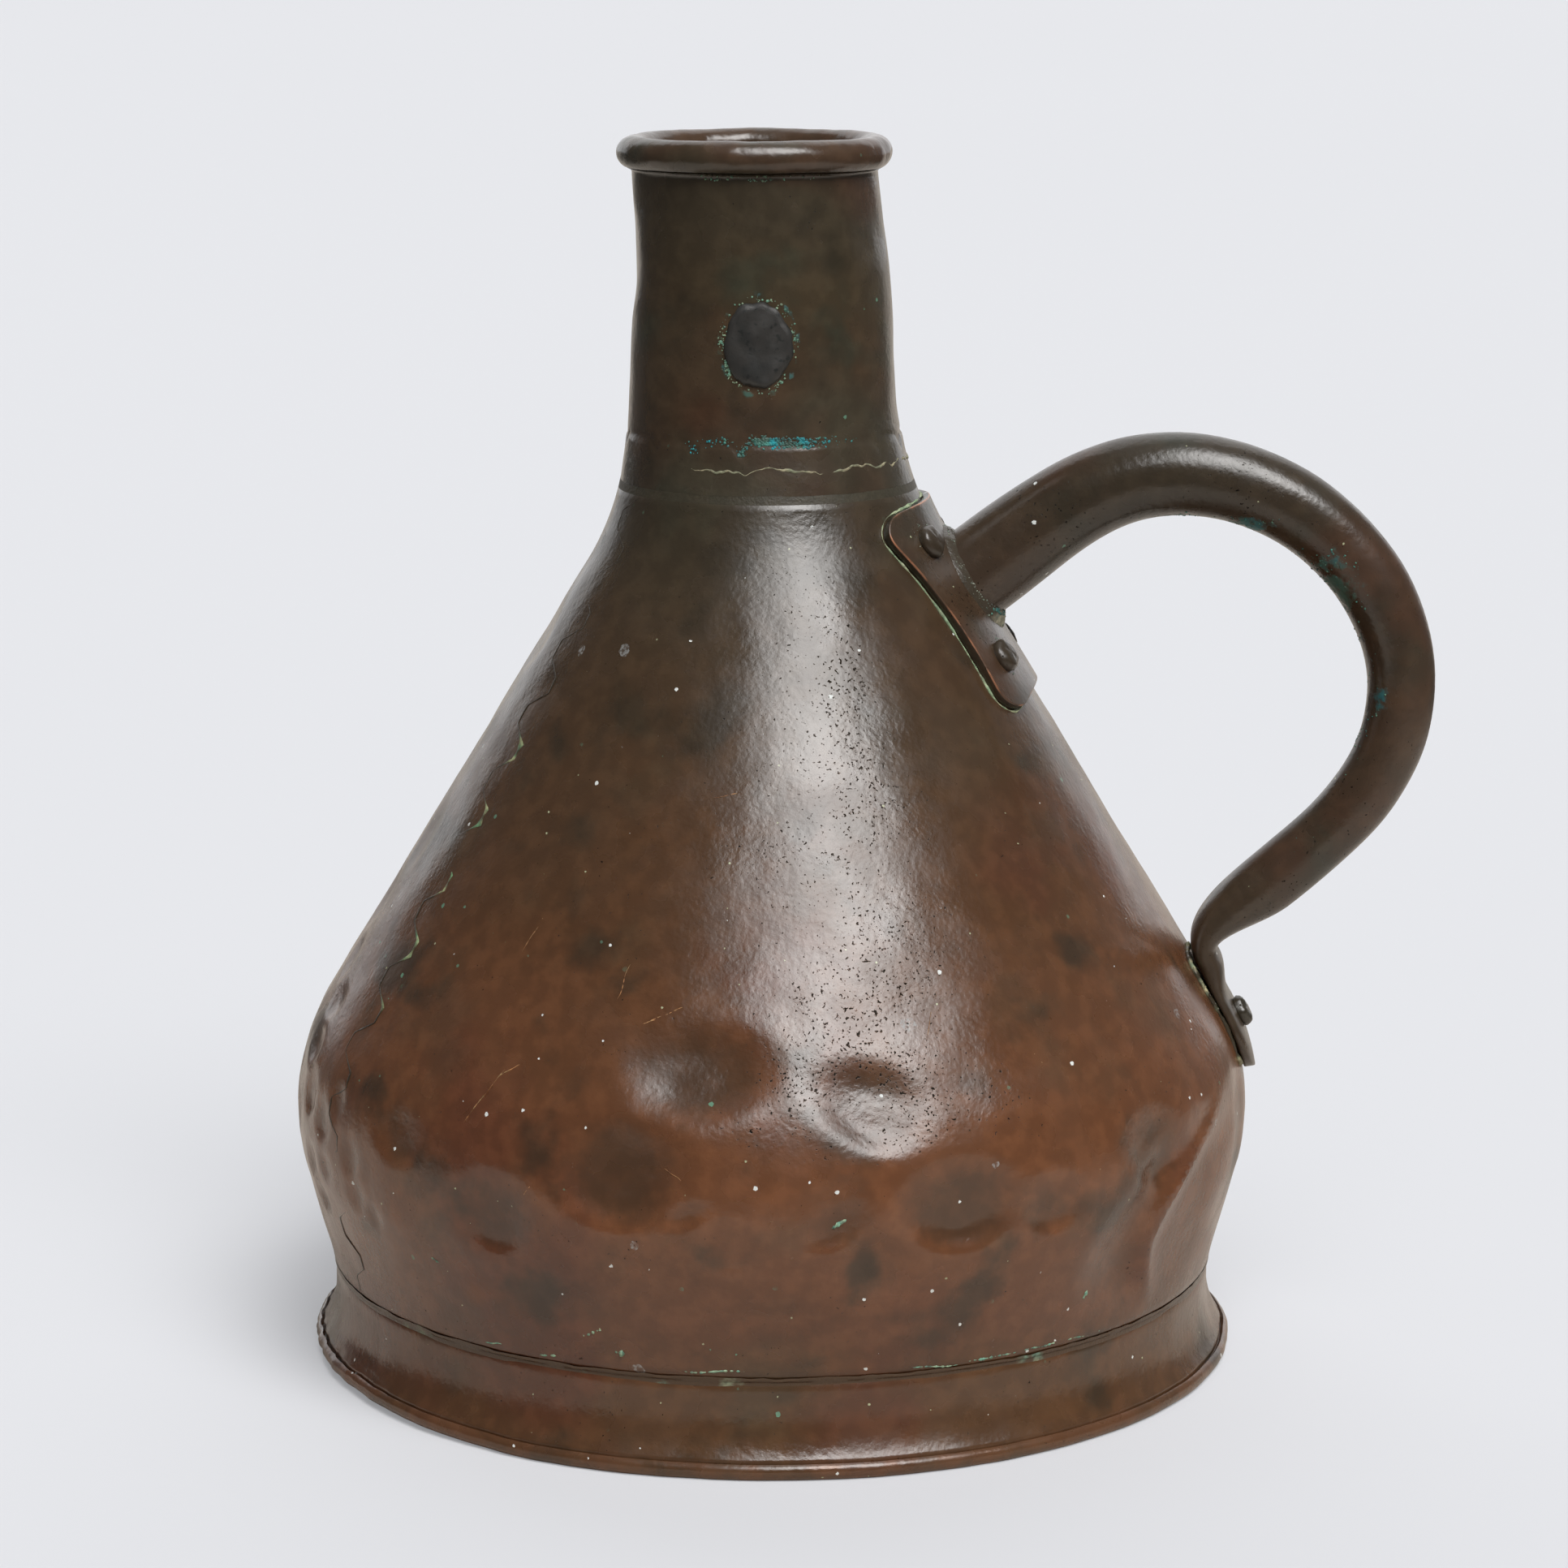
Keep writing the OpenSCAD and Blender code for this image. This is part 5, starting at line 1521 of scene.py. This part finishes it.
def makeRivet(name, side, height, grip, layer, swell, rise):
    piece = latheShell(name, rivetOutline(grip, swell, rise), rivets["turns"])
    points = coordinates(piece)
    outer = ease(grip, grip + 0.6, points[:, 2])
    layers = [ripple(points, rivets["roughSize"], layer + k) for k in (1.0, 5.0, 9.0)]
    points += outer[:, None] * rivets["rough"] * np.stack(layers, axis=-1)
    out, up = (float(v) for v in skinNormal(height))
    reach = Matrix.Translation((float(skinRadius(height)), 0, height))
    place = Matrix.Rotation(math.radians(side), 4, "Z") @ reach @ Matrix.Rotation(math.atan2(out, up), 4, "Y")
    points = np.array([place @ Vector(p) for p in points])
    reshape(piece, settle(points))
    addMark(piece, "sunk", np.full(len(points), rivets["grime"]))
    return piece


for name, level, cadNode in (("rivetsUpper", "upper", "saddle_rivets_upper"),
                             ("rivetsLower", "lower", "saddle_rivets_lower")):
    turnAngle, atHeight = rivets[level]
    pair = joinPieces([
        makeRivet(name + end, way * turnAngle, atHeight, saddle["thick"], atHeight / 10 + way, *rivets[head])
        for end, way, head in (("Front", -1, "nearHead"), ("Back", 1, "farHead"))
    ])
    pair.name = name
    finishPiece(pair, handleFinish, "rivet_copper", cadNode, sharp=50)
tangGrip = handle["tangSeat"] + handle["tangThick"]
tangRivet = makeRivet("tangRivet", *rivets["tang"], tangGrip, 3.0, *rivets["tangHead"])
finishPiece(tangRivet, handleFinish, "rivet_copper", "tang_rivet", sharp=50)
print("rivets made")


# Solder squeezed out around the tang
tangSolder = {
    "low": 72.0, "high": 99.5, "halfWidth": 10.6, "square": 0.45, "steps": 160,
    "bead": 0.5, "uneven": ((0.9, 4.0, 0.0), (0.7, 1.6, 4.0)), "beadRange": (0.15, 0.9), "lift": 0.2,
    "crumbsAbove": (74, 84), "crumbsLeast": 0.3, "crumbsLift": 0.25,
}


def makeTangSolder():
    turn = np.linspace(0, math.tau, tangSolder["steps"], endpoint=False)
    middle = (tangSolder["low"] + tangSolder["high"]) / 2
    half = (tangSolder["high"] - tangSolder["low"]) / 2
    z = middle + half * boxed(np.sin(turn), tangSolder["square"])
    across = tangSolder["halfWidth"] * boxed(np.cos(turn), tangSolder["square"])
    edge = np.stack((across, z, 0 * z), axis=-1)
    thick = np.clip(tangSolder["bead"] * (1 + ripples(edge, *tangSolder["uneven"])), *tangSolder["beadRange"])
    side = np.degrees(across / skinRadius(z))
    piece = loftRings("tangSolder", beadRings(side, z, thick, tangSolder["lift"]), loop=True)
    points = coordinates(piece)
    crumbly = ease(*tangSolder["crumbsAbove"], points[:, 2]) + tangSolder["crumbsLeast"]
    crumbly = crumbly * (coneLift(points) > tangSolder["crumbsLift"])
    reshape(piece, settle(points))
    finishPiece(piece, spelterFinish, "solder", "tang_solder", sharp=70)
    strew("tangCrust", piece, crumbly, spelterFinish, "solder")


makeTangSolder()
print("tang solder made")


# Verdigris along the edge of the saddle plate and round its rivets
edgeCrust = {
    "gap": 0.46, "thick": 0.38, "middle": 0.62, "uneven": ((1.1, 9.0, 0.0), (0.6, 1.5, 4.0)),
    "range": (0.04, 0.62),
    # crumbs round each rivet
    "ring": (4.3, 5.6), "crumbs": 34, "sizes": (0.07, 0.22), "seed": 23, "lift": 0.08,
}


def saddleCrust():
    edge = plateEdge()
    reach = np.linalg.norm(edge, axis=1, keepdims=True)
    edge = np.repeat(edge * (1 + edgeCrust["gap"] / reach), 3, axis=0)
    edge = (np.roll(edge, 1, axis=0) + edge + np.roll(edge, -1, axis=0)) / 3
    points = onPlate(edge[:, 0], edge[:, 1], 0.0)
    thick = edgeCrust["thick"] * (edgeCrust["middle"] + ripples(points, *edgeCrust["uneven"]))
    bead = beadRings(polar(points)[1], points[:, 2], np.clip(thick, *edgeCrust["range"]), 0.05)
    return loftRings("saddleCrust", bead, loop=True)


def rivetCrust():
    draw = np.random.RandomState(edgeCrust["seed"])
    places, normals = [], []
    for level in ("upper", "lower"):
        for way in (-1, 1):
            turn = draw.uniform(0, math.tau, edgeCrust["crumbs"])
            reach = draw.uniform(*edgeCrust["ring"], edgeCrust["crumbs"])
            heights = rivets[level][1] + reach * np.sin(turn) * math.cos(coneLean)
            sides = way * rivets[level][0] + np.degrees(reach * np.cos(turn) / skinRadius(heights))
            places.append(skinPoints(sides, heights, saddle["thick"] + edgeCrust["lift"]))
            normals.append(skinNormals(sides, heights))
    places, normals = np.vstack(places), np.vstack(normals)
    sizes = draw.uniform(*edgeCrust["sizes"], len(places))
    return grainPile("rivetCrust", places, normals, sizes, edgeCrust["seed"])


for grown, finish, slot in ((saddleCrust(), paleFinish, "body_copper"),
                            (rivetCrust(), powderFinish, "handle_copper")):
    settlePiece(grown)
    finishPiece(grown, finish, slot, sharp=70)
print("crusts made")


# Scratches that show bare copper, and streaks of verdigris
scratches = {
    # side, height, length, turn from level, half width
    "copper": ((-105.5, 110.5, 9, 80, 0.10), (-121, 84, 16, 62, 0.14), (-118.5, 90, 6, 35, 0.16),
               (-99, 104.5, 9, 28, 0.16), (-101, 103, 4, 20, 0.12), (-84, 63, 8, 15, 0.12),
               (-93, 150, 7, 12, 0.10), (-96, 72, 5, -30, 0.12), (-113, 66, 7, 58, 0.10),
               (-64, 102, 6, 70, 0.09), (-50, 92, 5, -60, 0.10), (-122, 118, 10, 75, 0.09),
               (40, 90, 14, 50, 0.12), (75, 120, 12, -40, 0.10), (110, 75, 16, 20, 0.13),
               (150, 100, 10, 65, 0.10)),
    "green": ((-106.5, 32, 6, 22, 0.42), (-103, 27.5, 3.6, -8, 0.75), (-44, 35, 2.6, 50, 0.60),
              (-128, 43, 2.6, -20, 0.40), (-77.5, 61, 5, 28, 0.55), (-92, 24.5, 16, 2, 0.36),
              (-113, 24.4, 5, 4, 0.36), (-121, 24.6, 6, 5, 0.34), (-65, 23.8, 12, 0, 0.26),
              (-57.5, 23.9, 15, 1, 0.34), (-50, 24.1, 12, 1, 0.28), (-44, 24.2, 8, 1, 0.24),
              (60, 40, 7, 15, 0.5), (130, 34, 5, -20, 0.5)),
    "bow": 0.06, "apart": 3.7, "grain": 0.7, "width": (0.75, 1.3), "range": (0.04, 1.4),
    "sunk": 0.35, "corners": 6,
}


def makeStreaks(name, marks):
    parts = []
    for index, (side, height, length, turn, half) in enumerate(marks):
        t = np.linspace(-0.5, 0.5, max(12, int(length * 3)))
        along = length * t
        across = scratches["bow"] * length * rippleAt(t * 2, index * scratches["apart"], 0, 1.0)
        c, s = math.cos(math.radians(turn)), math.sin(math.radians(turn))
        heights = height + (along * s + across * c) * skinNormal(height)[0]
        sides = side + np.degrees((along * c - across * s) / skinRadius(heights))
        least, grain = scratches["width"]
        width = np.sqrt(1 - (2 * t) ** 2) * (least + grain * rippleAt(along, index, 0, scratches["grain"]))
        thick = half * np.clip(width, *scratches["range"])
        bead = beadRings(sides, heights, thick, -scratches["sunk"] * half, scratches["corners"])
        parts.append(loftRings(name + str(index), bead))
    piece = joinPieces(parts)
    piece.name = name
    settlePiece(piece)
    return piece


finishPiece(makeStreaks("bareScratches", scratches["copper"]), scratchFinish, "body_copper", sharp=70)
finishPiece(makeStreaks("greenStreaks", scratches["green"]), streakFinish, "body_copper", sharp=70)
print("scratches made")


# Studio: a pale floor, with soft light that depends on direction only
studio = {
    # the floor's size and edges are in metres
    "floorSize": 50.0, "floor": (0.70, 0.71, 0.74), "paperTone": (0.996, 1.004), "paperRough": 0.95,
    "glow": (0.83, 0.84, 0.87), "glowShare": 0.32,
    # the paper throws light back near the object and behind it
    "bounce": (0.64, 0.58, 0.51), "dark": (0.06, 0.055, 0.05),
    "frontEdge": (-0.62, -0.34), "sideEdge": (0.85, 0.45), "behind": (144.0, 152.0),
    # azimuth from the camera, positive to its right, and elevation
    "softbox": {"side": (-22.0, 24.0, 36.0, 67.0), "height": (32.0, 44.0, 62.0, 82.0), "level": 11.2,
                "tint": (1.0, 0.99, 0.98)},
    "backdrop": {"side": (136.0, 141.0), "height": (85.0, 55.0), "level": 0.98, "tint": (0.98, 0.985, 1.0)},
    "rightWall": {"side": (85.0, 125.0), "height": (70.0, 40.0), "level": 0.10},
    "room": 0.075, "ceiling": (55.0, 85.0, 0.0, 0.30),
}


def sideOf(tree, parts):
    # degrees to the right of straight ahead
    backward = times(tree, parts["Y"], -1.0)
    return times(tree, reckon(tree, "ARCTAN2", parts["X"], backward), 180 / math.pi)


def makeWorld():
    world = bpy.data.worlds.new("studioLight")
    bpy.context.scene.world = world
    world.use_nodes = True
    tree = world.node_tree
    way = node(tree, "TexCoord").outputs["Generated"]
    turn = {"Vector": way, "Angle": -math.radians(photoView["turn"])}
    way = node(tree, "VectorRotate", turn, rotation_type="Z_AXIS").outputs[0]
    parts = node(tree, "SeparateXYZ", {0: way}).outputs
    side = sideOf(tree, parts)
    height = times(tree, reckon(tree, "ARCSINE", parts["Z"]), 180 / math.pi)

    def window(value, a, b, c, d):
        return times(tree, band(tree, value, a, b), band(tree, value, d, c))

    softbox, backdrop, wall = studio["softbox"], studio["backdrop"], studio["rightWall"]
    key = times(tree, window(side, *softbox["side"]), window(height, *softbox["height"]))
    away = reckon(tree, "ABSOLUTE", side)
    behind = times(tree, band(tree, away, *backdrop["side"]), band(tree, height, *backdrop["height"]))
    right = band(tree, side, *wall["side"], 0, wall["level"])
    right = times(tree, right, band(tree, height, *wall["height"]))
    behind = most(tree, times(tree, behind, backdrop["level"]), right)
    fill = plus(tree, most(tree, behind, band(tree, height, *studio["ceiling"])), studio["room"])
    colour = blend(tree, band(tree, key, 0, 1), backdrop["tint"], softbox["tint"])
    level = plus(tree, fill, times(tree, key, softbox["level"]))
    tree.links.new(colour, tree.nodes["Background"].inputs["Color"])
    tree.links.new(level, tree.nodes["Background"].inputs["Strength"])


def makeFloor():
    deselect()
    bpy.ops.mesh.primitive_plane_add(size=studio["floorSize"], location=(0, 0, 0))
    floor = bpy.context.object
    floor.name = "floor"
    finish, tree, shader, place = newFinish("paper", 1.4)
    colour = shade(tree, studio["floor"], patch(tree, place, "paper", *studio["paperTone"]))
    seen = node(tree, "LightPath").outputs["Is Camera Ray"]
    parts = node(tree, "SeparateXYZ", {0: place}).outputs
    reach = node(tree, "VectorMath", {0: place}, operation="LENGTH").outputs["Value"]
    away = reckon(tree, "ABSOLUTE", sideOf(tree, parts))
    near = times(tree, band(tree, parts["Y"], *studio["frontEdge"]), band(tree, reach, *studio["sideEdge"]))
    paper = most(tree, near, band(tree, away, *studio["behind"]))
    bounce = blend(tree, paper, studio["dark"], studio["bounce"])
    colour = blend(tree, seen, bounce, colour)
    tree.links.new(colour, shader.inputs["Base Color"])
    shader.inputs["Roughness"].default_value = studio["paperRough"]
    glow = node(tree, "Emission", {"Color": studio["glow"]}).outputs[0]
    layers = {0: times(tree, seen, studio["glowShare"]), 1: shader.outputs[0], 2: glow}
    mixed = node(tree, "MixShader", layers).outputs[0]
    tree.links.new(mixed, tree.nodes["Material Output"].inputs["Surface"])
    floor.data.materials.append(finish)


makeWorld()
makeFloor()
print("studio made")
bpy.context.scene.view_settings.view_transform = "Standard"
